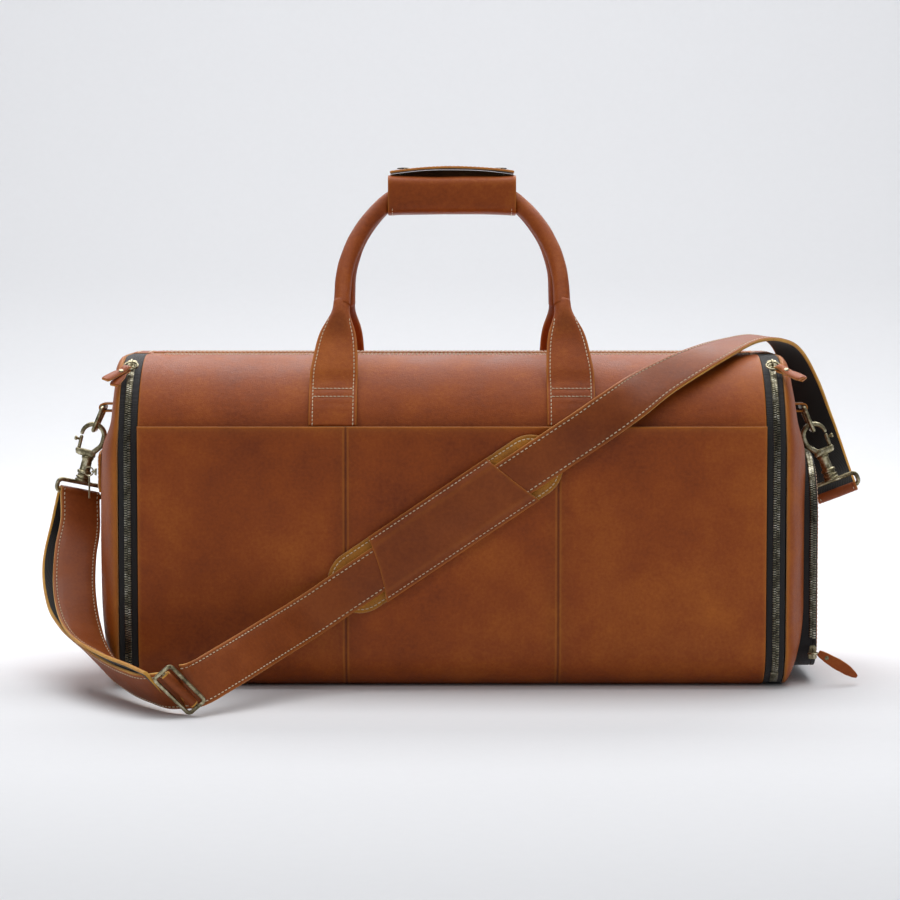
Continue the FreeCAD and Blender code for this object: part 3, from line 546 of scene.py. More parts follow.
def shell(name, x0, x1, s0, s1, thick, mats, side=-1, out=0.0, sag=0.0, seed=1, step=6.0, **kw):
    """Sheet on the shell between two lengths and two girths, sagging by up to sag away from its edges."""
    xs, ss = spaced(x0, x1, step), spaced(s0, s1, step)
    X, S = net(xs, ss)
    fade = smooth(X, x0, x0 + 40) * smooth(-X, -x1, 40 - x1)
    fade = fade * smooth(S, s0, s0 + 40) * smooth(-S, -s1, 30 - s1)
    down = sag * dents(X, S, seed) * fade if sag else 0.0
    P, N = on_shell(X, S, out - down, side)
    return sheet(name, P, N, thick, mats, **kw)


GAP = 0.3
LEATHER, END_LEATHER = 2.5, 2.2
MOUTH_LEFT, MOUTH_RIGHT, LIP_EDGE = -263.0, 222.0, 15.0


# ---- front, back and base ----
POCKET_OUT, POCKET_RISE, POCKET_SEAMS = 4.0, 171.0, (-93.0, 93.0)


def front_sag(X, S):
    """How far the long panels sink between their edges and the base."""
    fade = smooth(HALF_LENGTH - np.abs(X), 0, 45) * smooth(S, 100, 170) * smooth(S_TOP - S, 0, 35)
    return 2.0 * dents(X, S, 4, 90, 240) * fade


def main_panels():
    for name, side in (("front_panel", -1), ("back_panel", 1)):
        low = S_SIDE + 12 if side < 0 else S_CORNER
        xs, ss = spaced(-HALF_LENGTH, HALF_LENGTH, 6.0), spaced(low, S_TOP, 5.0)
        X, S = net(xs, ss)
        sag = front_sag(X * -side, S)
        P, N = on_shell(X, S, -sag, side)
        sheet(name + "_skin", P, N, LEATHER, SKIN, cad=name)
        x = np.linspace(-HALF_LENGTH + 4, HALF_LENGTH - 4, 200)
        sew("panel_tops", *on_shell(x, S_TOP - 3.5, 0.0, side))
    for name, side, node in (("bottom_skin", -1, "bottom_panel"), ("bottom_skin_back", 1, "")):
        shell(name, -HALF_LENGTH, HALF_LENGTH, 0.0, S_CORNER - GAP, LEATHER, SKIN, side=side, step=12.0,
              cad=node)


def slip_pocket():
    """One leather layer over the front, pillowed between its two upright double seams."""
    xs = spaced(-HALF_LENGTH, HALF_LENGTH, 6.0, POCKET_SEAMS)
    ss = spaced(S_CORNER + 1.0, S_SIDE + POCKET_RISE, 5.0)
    rows = np.concatenate([ss, [S_SIDE + POCKET_RISE + d for d in (5, 10, 15, 20, 23, 24.2, 25.0)]])
    X, S = net(xs, rows)
    y, z, ny, nz = section(np.minimum(S, S_SHOULDER - 0.01))
    z = z + np.maximum(S - S_SHOULDER, 0.0)
    out = POCKET_OUT * smooth(S, S_CORNER, S_SIDE + 25)
    near = np.min([np.abs(X - s) for s in POCKET_SEAMS], axis=0)
    edge = HALF_LENGTH - np.abs(X)
    pillow = 1.6 * (1 - smooth(near, 1.5, 26)) + 1.3 * (1 - smooth(edge, 0, 22))
    groove = 0.55 * np.exp(-(near / 0.9) ** 2) - 0.25 * np.exp(-((near - 2.2) / 0.9) ** 2)
    folds = 1.1 * dents(X, S, 11, 70, 210) * smooth(near, 2, 30) * smooth(edge, 2, 30)
    keep = smooth(S, S_CORNER + 5, S_SIDE + 15)
    lip = 0.5 * smooth(S, S_SHOULDER + 20, S_SHOULDER + 25)
    out = out - (pillow + groove + folds - lip) * keep
    normal = xyz(0.0, ny, nz)
    P = xyz(X, y, z) + normal * out[..., None]
    wear = 0.75 * np.exp(-((near - 2.0) / 0.8) ** 2) + 0.5 * (1 - smooth(edge, 0, 4))
    # Painted shading: darker in the seam grooves and in the dips beside the seams, where shadow falls.
    painted_shade = 0.5 * np.exp(-(near / 0.7) ** 2) + 0.10 * (1 - smooth(near, 3, 16))
    sheet("slip_pocket_front", P, normal, 2.3, SKIN, wear=np.clip(wear, 0, 1), painted_shade=np.clip(painted_shade, 0, 1),
          cad="front_pocket")


def top_strips():
    """Mouth lips, the fixed leather at both ends of the mouth, and the zip between them."""
    parts = [("left_patch", -HALF_LENGTH, MOUTH_LEFT - GAP, False),
             ("right_patch", MOUTH_RIGHT + GAP, HALF_LENGTH, False), ("lip", MOUTH_LEFT, MOUTH_RIGHT, True)]
    for name, x0, x1, moving in parts:
        for side, way in ((-1, "front"), (1, "back")):
            body = way + "_mouth_lip" if moving else "bag"
            node = body if moving else "mouth_end_patches" if side < 0 else ""
            s0, s1 = S_TOP + GAP, S_END - LIP_EDGE
            shell(f"{way}_{name}_leather", x0, x1, s0, s1, LEATHER, SKIN, side=side, sag=0.5 if moving else 0,
                  seed=31, step=7.0, body=body, cad=node)
            s0, s1 = S_END - 24.0, S_END - 0.2
            shell(f"{way}_{name}_tape", x0 + 0.1, x1 - 0.1, s0, s1, 1.1, TAPES, side=side, out=-2.6,
                  step=9.0, body=body, cad=way + "_mouth_zip" if moving else "")
            if x1 - x0 > 20:
                x = np.linspace(x0 + 3, x1 - 3, int(x1 - x0))
                for s in (S_END - LIP_EDGE - 3.0, S_TOP + 4.0):
                    sew(body + "_rows", *on_shell(x, s, 0.0, side))


main_panels()
slip_pocket()
top_strips()


# ---- zip chains ----
def teeth(name, path, outward, body, keep=(-1, 1), pitch=2.15, reach=3.0, high=1.7):
    """Metal zip teeth on both tapes, meshed along a path. keep picks the tapes' sides."""
    data = resampled(np.concatenate([path, outward], 1), pitch * 0.5)
    centre, up = data[:, :3], unit(data[:, 3:])
    along = unit(np.gradient(centre, axis=0))
    side = np.cross(along, up)
    verts, faces = [], []
    for k in range(len(centre)):
        sign = 1 if k % 2 else -1
        if sign not in keep:
            continue
        base = len(verts)
        for grow, level in ((1.0, 0.0), (1.0, 0.62), (0.66, 1.0)):
            for u, v in ((-1, -0.22), (1, -0.22), (1, 1), (-1, 1)):
                across = sign * (0.22 * reach + v * 0.74 * reach * (grow if v > 0 else 1.0))
                verts.append(centre[k] + along[k] * (u * 0.30 * pitch * grow) + side[k] * across
                             + up[k] * (level * high))
        for layer in (0, 1):
            a = base + 4 * layer
            faces += [(a + j, a + (j + 1) % 4, a + 4 + (j + 1) % 4, a + 4 + j) for j in range(4)]
        faces += [(base + 3, base + 2, base + 1, base), (base + 8, base + 9, base + 10, base + 11)]
    piece(name, verts, faces, [CHAIN], flat=(0,), body=body)


def top_chain():
    for side, way in ((-1, "front"), (1, "back")):
        for part, x0, x1, body in (("lip", -259.0, 221.5, way + "_mouth_lip"), ("end", 223.0, 262.0, "bag")):
            path = np.array([(x0, 0, HEIGHT - 2.6), (x1, 0, HEIGHT - 2.6)])
            up = np.array([(0, 0, 1.0)] * 2)
            teeth(f"{way}_{part}_teeth", path, up, body, keep=(-side,))


# ---- sliders, rings and pulls ----
def placed(origin, along, up):
    """Function that carries local (along, side, up) millimetres to the bag's frame."""
    up = unit(up)
    side = unit(np.cross(up, along))
    along = np.cross(side, up)

    def put(points):
        p = np.asarray(points, float)
        return (np.asarray(origin, float) + p[..., :1] * along + p[..., 1:2] * side + p[..., 2:3] * up)
    return put


def joined(name, shapes, mats, **kw):
    """One piece from several (verts, faces) shapes."""
    verts, faces, kinds, base = [], [], [], 0
    for entry in shapes:
        v, f = entry[:2]
        kind = entry[2] if len(entry) > 2 else 0
        verts.append(np.asarray(v, float).reshape(-1, 3))
        faces += [tuple(i + base for i in face) for face in f]
        kinds += list(kind) if isinstance(kind, list) else [kind] * len(f)
        base += len(verts[-1])
    return piece(name, np.concatenate(verts), faces, mats, kinds, **kw)


def bar(path, radius, sides=14, closed=False, profile=None, hint=(0, 0, 1)):
    """Round (or profiled) bar along a path as a shape; radius may vary."""
    path = np.asarray(path, float)
    if closed:
        again = np.concatenate([path[-1:], path, path[:1]])
        _, s, u = carried(again, hint)
        s, u = s[1:-1], u[1:-1]
    else:
        _, s, u = carried(path, hint)
    r = np.broadcast_to(np.asarray(radius, float), (len(path),))
    ring = circle(1.0, sides) if profile is None else np.asarray(profile)
    verts = (path[:, None] + s[:, None] * ring[None, :, :1] * r[:, None, None]
             + u[:, None] * ring[None, :, 1:] * r[:, None, None])
    return verts.reshape(-1, 3), tube_faces(len(path), len(ring), closed)


def lathe(origin, axis, profile, sides=28):
    """Turned shape: profile is (height along the axis, radius) pairs."""
    profile = np.asarray(profile, float)
    axis = unit(axis)
    u = unit(np.cross(axis, (0.3, 0.5, 0.81)))
    v = np.cross(axis, u)
    ring = circle(1.0, sides)
    verts = (np.asarray(origin, float) + profile[:, None, :1] * axis
             + profile[:, None, 1:] * (ring[None, :, :1] * u + ring[None, :, 1:] * v))
    return verts.reshape(-1, 3), tube_faces(len(profile), sides)


def hoop(centre, normal, radius, wire):
    """Round ring of wire."""
    t = np.linspace(0, 2 * math.pi, 36, endpoint=False)
    n = unit(normal)
    u = unit(np.cross(n, (0.31, 0.5, 0.8)))
    v = np.cross(n, u)
    path = np.asarray(centre, float) + radius * (np.cos(t)[:, None] * u + np.sin(t)[:, None] * v)
    return bar(path, wire, 12, True, hint=n)


def loaf(put, sections, power=0.35, sides=20):
    """Rounded block: sections are (along, half width, low, high)."""
    verts = []
    for x, half, low, high in sections:
        ring = squircle(half, 0.5 * (high - low), power, sides)
        verts.append([(x, a, b + 0.5 * (low + high)) for a, b in ring])
    return put(np.array(verts).reshape(-1, 3)), tube_faces(len(sections), sides)


def zip_slider(name, origin, along, up, width, length, rise, node):
    """Waisted slider with a bridge over it; along is the way it closes. node is its body and its CAD node."""
    put = placed(origin, along, up)
    h, w = 0.5 * length, 0.5 * width
    plan = [(-1.0, 0.45), (-0.96, 0.62), (-0.7, 0.74), (-0.2, 0.80), (0.2, 0.92), (0.6, 1.0), (0.9, 0.95),
            (1.0, 0.72)]
    shapes = [loaf(put, [(a * h, b * w, 0.05, 1.0) for a, b in plan]),
              loaf(put, [(a * h * 0.94, b * w * 0.86, 0.9, 2.0) for a, b in plan])]
    t = np.linspace(0, math.pi, 15)
    arch = np.stack([-np.cos(t) * 0.33 * length, np.zeros(15), 1.4 + np.sin(t) ** 0.6 * (rise - 2.2)], -1)
    shapes.append(bar(put(arch), 0.78, 10))
    joined(name, shapes, [DARK if "main" in name else BRASS], body=node, cad=node)


def unroll(path, across, widths, thick):
    """Strip of leather along a path: returns verts, faces and kinds (face, edge, back)."""
    path = np.asarray(path, float)
    along = unit(np.gradient(path, axis=0))
    side = unit(np.cross(np.cross(along, across), along))
    up = np.cross(side, along)
    prof = [(-1, -0.5), (-1.0, 0.25), (-0.93, 0.5), (-0.5, 0.5), (0, 0.5), (0.5, 0.5), (0.93, 0.5),
            (1.0, 0.25), (1, -0.5), (0, -0.5)]
    kinds = [1, 1, 0, 0, 0, 0, 1, 1, 2, 2] * (len(path) - 1) + [1, 1]
    half = 0.5 * np.asarray(widths)[:, None]
    verts = np.stack([path + side * (u * half) + up * (v * thick) for u, v in prof], 1)
    return verts.reshape(-1, 3), tube_faces(len(path), len(prof)), kinds


# ---- end zips ----
ZIP_MID = HALF_LENGTH + 9.0
BIG_SLIDER = (9.0, 13.0, 5.6)
BAND_END = 292.0
SLIDER_ANGLE = math.radians(62)
SLIDER_S = S_SHOULDER + SHOULDER * SLIDER_ANGLE


def end_bands():
    """Zip tape and chain round each end, and the plain gusset behind."""
    for name, sign in (("left", -1), ("right", 1)):
        x0, x1 = sorted((sign * (HALF_LENGTH + GAP), sign * (BAND_END - GAP)))
        shell(f"{name}_end_tape", x0, x1, GAP, S_END - GAP, 1.2, TAPES, side=-1, out=-0.8, step=8.0,
              cad=f"{name}_end_zip")
        shell(f"{name}_gusset_skin", x0, x1, GAP, S_END - GAP, LEATHER, SKIN, side=1, step=8.0,
              cad=f"{name}_end_gusset")
        s = np.linspace(6, S_END - 6, 260)
        for x in (x0 + 3.2, x1 - 3.2):
            sew("gussets", *on_shell(x, s, 0.0, 1), 4.2)
        s = np.linspace(S_CORNER + 26, SLIDER_S - 2, 200)
        teeth(f"{name}_end_teeth", *on_shell(sign * ZIP_MID, s, -0.7), "bag", high=1.8)
        s = np.linspace(S_CORNER + 17, S_CORNER + 32, 6)
        row, normal = on_shell(sign * ZIP_MID, s, -0.1)
        swept(f"{name}_end_zip_box", row, squircle(3.4, 0.9, 0.5, 20), [CHAIN],
              np.repeat([[1.0, 0, 0]], 6, 0), normal)


def shoulder_frame(angle):
    """Outward and downward directions on the front shoulder, that angle up round it."""
    outward = np.array([0, -math.cos(angle), math.sin(angle)])
    down = np.array([0, -math.sin(angle), -math.cos(angle)])
    return outward, down


def end_sliders():
    outward, down = shoulder_frame(SLIDER_ANGLE)
    centre = np.array([0, -(HALF_DEPTH - SHOULDER), HEIGHT - SHOULDER])
    for name, sign, pull_drop in (("left", -1, 1.8), ("right", 1, 1.0)):
        x = sign * ZIP_MID
        origin = centre + outward * (SHOULDER + 1.75) + (x, 0, 0)
        zip_slider(f"{name}_end_slider", origin, -down, outward, *BIG_SLIDER, f"{name}_end_zip_slider")
        eye = centre + outward * (SHOULDER + 1.75 + 3.3) + (x, 0, 0) + down * 6.0
        away = unit(down * pull_drop + np.array([sign, 0, 0]))
        pull = f"{name}_end_zip_pull"
        joined(f"{name}_end_pull_ring", [hoop(eye, outward, 6.0, 0.85)], [BRASS], body=pull)
        across = np.cross(outward, away)
        tails = []
        for turn, reach, lift in ((-0.10, 35.0, 1.3), (0.12, 33.0, -1.2)):
            way = unit(away + across * turn)
            line = [eye + away * 4.9 + outward * lift * 1.3, eye + away * 8.0 + outward * lift * 1.5,
                    eye + away * 12.0 + outward * lift, eye + way * 22.0 + outward * lift * 1.1,
                    eye + way * reach + outward * lift * 1.9]
            line = curve_through(line, 1.5)
            k = np.linspace(0, 1, len(line))
            wide = np.interp(k, [0, 0.15, 0.5, 0.9, 1.0], [6.0, 7.0, 8.6, 9.0, 7.2])
            tails.append(unroll(line, across, wide, 1.7))
        fold = [eye + away * 5.0 + outward * 1.7, eye + away * 3.7, eye + away * 5.0 - outward * 1.6]
        fold = curve_through(fold, 0.7)
        tails.append(unroll(fold, across, np.full(len(fold), 6.0), 1.5))
        joined(f"{name}_end_pull_leather", tails, [PANEL, RAW, PANEL], flat=(1,), body=pull,
               cad=pull)
        rivet = lathe(eye + away * 15.0 - outward * 3.1, outward,
                      [(0, 0.5), (0.0, 1.6), (0.5, 2.2), (5.7, 2.2), (6.2, 1.6), (6.4, 0.5)])
        joined(f"{name}_end_pull_rivet", [rivet], [BRASS], body=pull)


def main_slider():
    origin = (258.0, 0, HEIGHT + 0.4)
    zip_slider("main_slider", origin, (1, 0, 0), (0, 0, 1), *BIG_SLIDER, "main_zip_slider")
    eye = np.array([263.0, 0, HEIGHT + 3.7])
    joined("main_pull", [hoop(eye, (0, 0, 1), 4.2, 0.75)], [BRASS], body="main_zip_pull",
           cad="main_zip_pull")


end_bands()
top_chain()
end_sliders()
main_slider()


# ---- end panels ----
MID_Z = 0.5 * HEIGHT
LEFT_BULGE, RIGHT_BULGE = 27.0, 29.0
FRONT_HALF = np.stack(section(np.linspace(0, S_END, 800))[:2], -1)
OUTLINE = np.concatenate([FRONT_HALF, FRONT_HALF[::-1] * (-1, 1)])


def reach(loop, centre, angles):
    """Distance from a centre to a closed loop along each angle."""
    d = loop - centre
    a = np.arctan2(d[:, 1], d[:, 0])
    order = np.argsort(a)
    r = np.linalg.norm(d, axis=1)[order]
    a = a[order]
    return np.interp(angles, np.concatenate([a[-1:] - 2 * math.pi, a, a[:1] + 2 * math.pi]),
                     np.concatenate([r[-1:], r, r[:1]]))


def dome_x(y, z, bulge):
    """How far out an end panel stands: half an ellipse from its outline to its middle."""
    dy, dz = y, z - MID_Z
    r = reach(OUTLINE, np.array([0, MID_Z]), np.arctan2(dz, dy))
    g = np.clip(np.hypot(dy, dz) / r, 0, 1)
    return BAND_END + bulge * np.sqrt(np.maximum(1 - g * g, 0.0))


def arch_points(inset=0.0, n=60):
    """Outline (y, z) of the shoe compartment, seen from the end."""
    side, top, bottom, high, low = 88.0 - inset, 202.0 - inset, 12.0 + inset, 55.0 - inset, 24.0 - inset
    a = np.linspace(0, math.pi / 2, n)
    hy, hz, ly, lz = 33.0, 147.0, 64.0, 36.0
    parts = [np.stack([ly + low * np.sin(a), lz - low * np.cos(a)], -1),
             np.stack([np.full(n, side), np.linspace(lz, hz, n)], -1)[1:-1],
             np.stack([hy + high * np.cos(a), hz + high * np.sin(a)], -1)]
    right = np.concatenate(parts)
    across_top = np.stack([np.linspace(hy, -hy, n), np.full(n, top)], -1)[1:-1]
    across_low = np.stack([np.linspace(-ly, ly, n), np.full(n, bottom)], -1)[1:-1]
    return np.concatenate([right, across_top, right[::-1] * (-1, 1), across_low])


def ray_angles(count):
    return np.linspace(-math.pi, math.pi, count, endpoint=False)


def inward(centre, far, near, t):
    """Grid of (y, z) on rays about a centre, from the far distances (t = 0) in to the near ones."""
    angles = ray_angles(len(far))
    radius = far[:, None] * (1 - t[None]) + near[:, None] * t[None]
    return centre[0] + np.cos(angles)[:, None] * radius, centre[1] + np.sin(angles)[:, None] * radius


def dome(name, P, sign, body, hub):
    """Leather over a grid of rays that faces along X; a hub closes the small hole in its middle."""
    N = unit(np.cross(np.roll(P, -1, 0) - np.roll(P, 1, 0), np.gradient(P, axis=1)))
    N *= np.sign((N[..., 0] * sign).sum())
    sheet(name + "_skin", P, N, END_LEATHER, SKIN, closed=True, drop=0.3, body=body, cad=name)
    if hub:
        rim, count = P[:, -1], len(P)
        piece(name + "_hub", np.concatenate([rim - N[:, -1] * 0.15, [rim.mean(0)]]),
              [(i, (i + 1) % count, count) for i in range(count)], [PANEL], body=body)
    return N


def end_panel(name, sign, bulge, centre, inner_loop, seed, slump):
    """Domed end leather between the bag's outline and an inner loop (or nearly nothing)."""
    angles = ray_angles(300)
    far = reach(OUTLINE, centre, angles) - 0.2
    near = reach(inner_loop, centre, angles) if inner_loop is not None else far * 0.02
    t = np.concatenate([[0, 0.012, 0.03, 0.06], np.linspace(0.1, 0.94, 20), [0.975, 1.0]])
    y, z = inward(centre, far, near, t)
    window = smooth(z, 205, 238) * (1 - smooth(z, 262, 290))
    x = BAND_END + (dome_x(y, z, bulge) - BAND_END) * (1 - slump * window)
    dip = dents(y, z, seed, 70, 170) * smooth(t, 0.02, 0.25)[None]
    if inner_loop is not None:
        dip = dip * smooth(1 - t, 0.0, 0.2)[None]
    dome(name, xyz(sign * (x - dip), y, z), sign, "bag", inner_loop is None)


end_panel("left_end_panel", -1, LEFT_BULGE, np.array([0, MID_Z]), None, 21, 0.34)
end_panel("right_end_panel", 1, RIGHT_BULGE, np.array([0.0, 110.0]), arch_points(-0.4), 22, 0.2)


# ---- side pocket on the left end ----
POCKET_Z, POCKET_R = 186.0, 580.0
WELT_HALF, SLOT_HALF, POCKET_SLIDER_Y = 78.0, 68.0, -56.0
POCKET_X = -(BAND_END + LEFT_BULGE + 2.0) + POCKET_R


def on_band(y, z, rise=0.0):
    """Points and normals on the left end's welt, which bends about an upright axis."""
    y, z = grids(y, z)
    r = POCKET_R + rise
    x = POCKET_X - np.sqrt(r * r - y * y)
    n = unit(xyz(x - POCKET_X, y, 0.0))
    return xyz(x, y, z), n


def side_pocket():
    ys = spaced(-WELT_HALF, WELT_HALF, 5.0, (-SLOT_HALF, SLOT_HALF))
    zs = spaced(169, 203, 3.0, (POCKET_Z - 6, POCKET_Z + 6))
    Y, Z = net(ys, zs)
    mid_y, mid_z = 0.5 * (ys[1:] + ys[:-1]), 0.5 * (zs[1:] + zs[:-1])
    mask = ~((np.abs(mid_y) < SLOT_HALF)[:, None] & (np.abs(mid_z - POCKET_Z) < 6)[None])
    P, N = on_band(Y, Z)
    puff = 0.5 * smooth(np.abs(Z - POCKET_Z), 16.5, 11)
    sheet("side_pocket_frame", P - N * (0.7 - puff)[..., None], N, 2.2, SKIN, mask=mask,
          cad="side_pocket_welt")
    y = np.linspace(3 - WELT_HALF, WELT_HALF - 3, 120)
    for z in (POCKET_Z + out for out in (13.5, 9.5, -9.5, -13.5)):
        sew("side_pocket", *on_band(y, z, -0.2))
    z = np.linspace(173, 199, 20)
    for end in (3.5 - WELT_HALF, WELT_HALF - 3.5):
        sew("side_pocket", *on_band(end, z, -0.2))
    ys, zs = spaced(-69, 69, 6.0), spaced(POCKET_Z - 6.5, POCKET_Z + 6.5, 2.5)
    Y, Z = net(ys, zs)
    P, N = on_band(Y, Z, -1.5)
    sheet("side_pocket_tape", P, N, 0.9, TAPES, cad="side_pocket_zip")
    y = np.linspace(-52, 64, 60)
    teeth("side_pocket_teeth", *on_band(y, POCKET_Z, -1.2), "bag", pitch=1.9, reach=2.3, high=1.4)
    origin, out = on_band(POCKET_SLIDER_Y, POCKET_Z, 1.3)
    zip_slider("side_pocket_slider_body", origin, (0, -1, 0), out, 7.0, 10.0, 5.0, "side_pocket_slider")
    top, _ = on_band(POCKET_SLIDER_Y, POCKET_Z, 8.1)
    put = placed(top, (0, 0, -1), out)
    plan = ((3.4, 1.2), (4.4, 1.8), (9, 1.9), (15, 2.6), (21, 3.0), (23.4, 2.3), (24.2, 1.0))
    tongue = loaf(put, [(a, b, -0.8, 0.8) for a, b in plan], 0.5)
    joined("side_pocket_tag", [hoop(top, (0, 1, 0), 3.8, 0.6), tongue], [BRASS], body="side_pocket_pull",
           cad="side_pocket_pull")


side_pocket()


# ---- shoe compartment ----
SHOE_X, SHOE_RIM, SHOE_BULGE = 321.3, 324.6, 2.6
SHOE_MID_Z = 107.0
SHOE_SLIDER = np.array([SHOE_X, -90.2, 27.0])


def loop_normals(loop):
    """Outward directions of a closed loop of (y, z) points."""
    t = unit(np.roll(loop, -1, 0) - np.roll(loop, 1, 0))
    return np.stack([t[:, 1], -t[:, 0]], -1)


def arch_wall(inset, count, xs):
    """Points and normals of a wall that runs along X on the shoe compartment's outline."""
    loop = arch_points(inset, count)
    n = loop_normals(loop)
    X, Y, Z, NY, NZ = grids(xs[None], loop[:, :1], loop[:, 1:], n[:, :1], n[:, 1:])
    return xyz(X, Y, Z), xyz(0 * X, NY, NZ)


def shoe_compartment():
    for part, x0, x1, body, node in (("inner", 300.0, SHOE_X - 0.2, "bag", "shoe_frame_zip"),
                                     ("outer", SHOE_X + 0.2, SHOE_RIM + 0.6, "shoe_door", "shoe_door_zip")):
        P, N = arch_wall(0.0, 28, spaced(x0, x1, 3.0))
        sheet("shoe_tape_" + part, P, N, 1.2, TAPES, closed=True, body=body, cad=node)
    loop = arch_points(0.0, 60)
    n = loop_normals(loop)
    upper = loop[:, 1] > 38
    start = int(np.argmax(upper & ~np.roll(upper, 1)))
    loop, n, upper = np.roll(loop, -start, 0), np.roll(n, -start, 0), np.roll(upper, -start)
    loop, n = loop[upper], n[upper]
    path = np.concatenate([np.full((len(loop), 1), SHOE_X), loop], 1)
    out = np.concatenate([np.zeros((len(loop), 1)), n], 1)
    along = unit(np.gradient(path, axis=0))
    way = np.cross(along, out)[10, 0]
    for body, sign in (("bag", -1), ("shoe_door", 1)):
        teeth("shoe_teeth_" + body, path, out, body, keep=(int(sign * np.sign(way)),), reach=2.9, high=1.7)
    centre = np.array([0.0, SHOE_MID_Z])
    far = reach(arch_points(0.0), centre, ray_angles(260))
    t = np.concatenate([[0, 0.012, 0.03, 0.055, 0.09, 0.14, 0.2], np.linspace(0.27, 0.98, 14)])
    y, z = inward(centre, far, 0 * far, t)
    rise = SHOE_BULGE * np.sqrt(np.clip(1 - (1 - np.clip(t / 0.26, 0, 1)) ** 2, 0, 1))
    x = SHOE_RIM + rise[None] - 0.8 * dents(y, z, 41, 60, 150) * smooth(t, 0.1, 0.35)[None]
    P = xyz(x, y, z)
    N = dome("shoe_door", P, 1, "shoe_door", True)
    k = int(np.argmin(np.abs(t - 0.055)))
    sew("shoe_door", P[:, k], N[:, k])
    zip_slider("shoe_slider_body", SHOE_SLIDER, (0, 0, -1), (0, -1, 0), 8.0, 12.0, 5.6, "shoe_zip_slider")
    eye_y = SHOE_SLIDER[1] - 3.3
    centre = np.array([SHOE_X, eye_y - 4.4, SHOE_SLIDER[2]])
    start, end = np.array([SHOE_X + 4.0, eye_y - 8.0, 28.0]), np.array([SHOE_X + 38.0, eye_y - 10.0, 7.0])
    joined("shoe_pull_ring", [hoop(centre, (0, 0, 1), 4.4, 0.8)], [BRASS], body="shoe_zip_pull")
    way = unit(end - start)
    across = np.cross(way, (0, -1, 0))
    line = resampled([start, start + way * 12, start + way * 26 + (0, 0.3, 0.5), end], 1.2)
    k = np.linspace(0, 1, len(line))
    wide = np.interp(k, [0, 0.06, 0.2, 0.5, 0.75, 0.93, 1.0], [5.0, 6.6, 8.4, 10.2, 9.0, 5.6, 2.4])
    joined("shoe_pull_leaf", [unroll(line, across, wide, 2.6)], SKIN, flat=(1,), body="shoe_zip_pull",
           cad="shoe_zip_pull")
    out = unit(np.cross(across, way))
    out = out * np.sign(-out[1])
    rivet = lathe(start + way * 8.5 - out * 1.6, out,
                  [(0, 0.4), (0, 1.9), (3.1, 1.9), (3.5, 1.3), (3.6, 0.4)])
    joined("shoe_pull_rivet", [rivet], [BRASS], body="shoe_zip_pull")


shoe_compartment()


# ---- handles ----
TUBE_R = 7.6
FOOT = np.array([0, -109.4, 266.5])
CROWN = np.array([0, -9.5, 438.5])
LEAN = unit(CROWN - FOOT)
LEAN_LENGTH = float(np.linalg.norm(CROWN - FOOT))
LEAN_OUT = np.array([0, -LEAN[2], LEAN[1]])


def on_lean(x, s):
    """Point in the front handle's plane, s up from its foot."""
    x, s = grids(x, s)
    return FOOT + xyz(x, 0.0, 0.0) + LEAN * s[..., None]


def tube_line():
    """The handle's rolled tube from its left neck to its right neck."""
    radius, cx, cs, low = 129.9, 32.3, 94.2, 98.0
    bend = LEAN_LENGTH - 12.3
    turn = math.asin((bend - cs) / radius)
    small = (LEAN_LENGTH - bend) / (1 - math.sin(turn))
    slope = (low - cs) / radius
    foot = cx - math.sqrt(radius ** 2 - (low - cs) ** 2) - slope * (low - 79.0)
    a = np.linspace(math.asin((low - cs) / radius), turn, 50)
    bow = np.stack([cx - radius * np.cos(a), cs + radius * np.sin(a)], -1)
    top_x = bow[-1, 0] + small * math.cos(turn)
    b = np.linspace(turn, math.pi / 2, 14)[1:]
    small_bow = np.stack([top_x - small * np.cos(b), LEAN_LENGTH - small + small * np.sin(b)], -1)
    foot_part = np.stack([np.linspace(foot, bow[0, 0], 8), np.linspace(79.0, low, 8)], -1)[:-1]
    half = np.concatenate([foot_part, bow, small_bow])
    return np.concatenate([half, half[::-1] * (-1, 1)])


def mirror(P, side):
    """A point set for the front (side -1) or its mirror image at the back (side 1)."""
    P = np.array(P, float)
    P[..., 1] *= -side
    return P


def handles():
    line = resampled(tube_line(), 2.5)
    path = on_lean(line[:, 0], line[:, 1])
    along = unit(np.gradient(path, axis=0))
    for side, way in ((-1, "front"), (1, "back")):
        p = mirror(path, side)
        out = mirror(LEAN_OUT, side)
        t = mirror(along, side)
        outs = np.repeat(out[None], len(p), 0)
        ins = np.cross(t, outs)
        angle = np.linspace(0, 2 * math.pi, 30, endpoint=False)
        k = np.arange(len(p))
        rough = 0.22 * ripple(k[:, None] * 2.5, angle[None] * 20, 5 + side, 14, 60)
        seam_at = math.radians(200)
        gap = np.abs((angle - seam_at + math.pi) % (2 * math.pi) - math.pi)
        ridge = 0.28 * np.exp(-(gap / 0.22) ** 2) - 0.5 * np.exp(-(gap / 0.07) ** 2)
        r = TUBE_R - 0.15 + rough + ridge[None]
        prof = np.stack([np.cos(angle)[None] * r, np.sin(angle)[None] * r], -1)
        # Painted shading: a dark line along the tube's sunken seam groove.
        painted_shade = np.tile(0.75 * np.exp(-(gap / 0.1) ** 2), len(p))
        wear = np.tile(0.35 * np.exp(-((gap - 0.3) / 0.12) ** 2), len(p))
        swept(f"{way}_tube_skin", p, prof, [PANEL], outs, ins, body="handles",
              points={"painted_shade": painted_shade, "wear": wear}, cad=f"{way}_handle_tube")
        row_at = seam_at - 0.33
        d = outs * math.cos(row_at) + ins * math.sin(row_at)
        sew("tubes", p + d * TUBE_R, d, 4.4)
        for sign in (-1, 1):
            neck(way, side, sign)


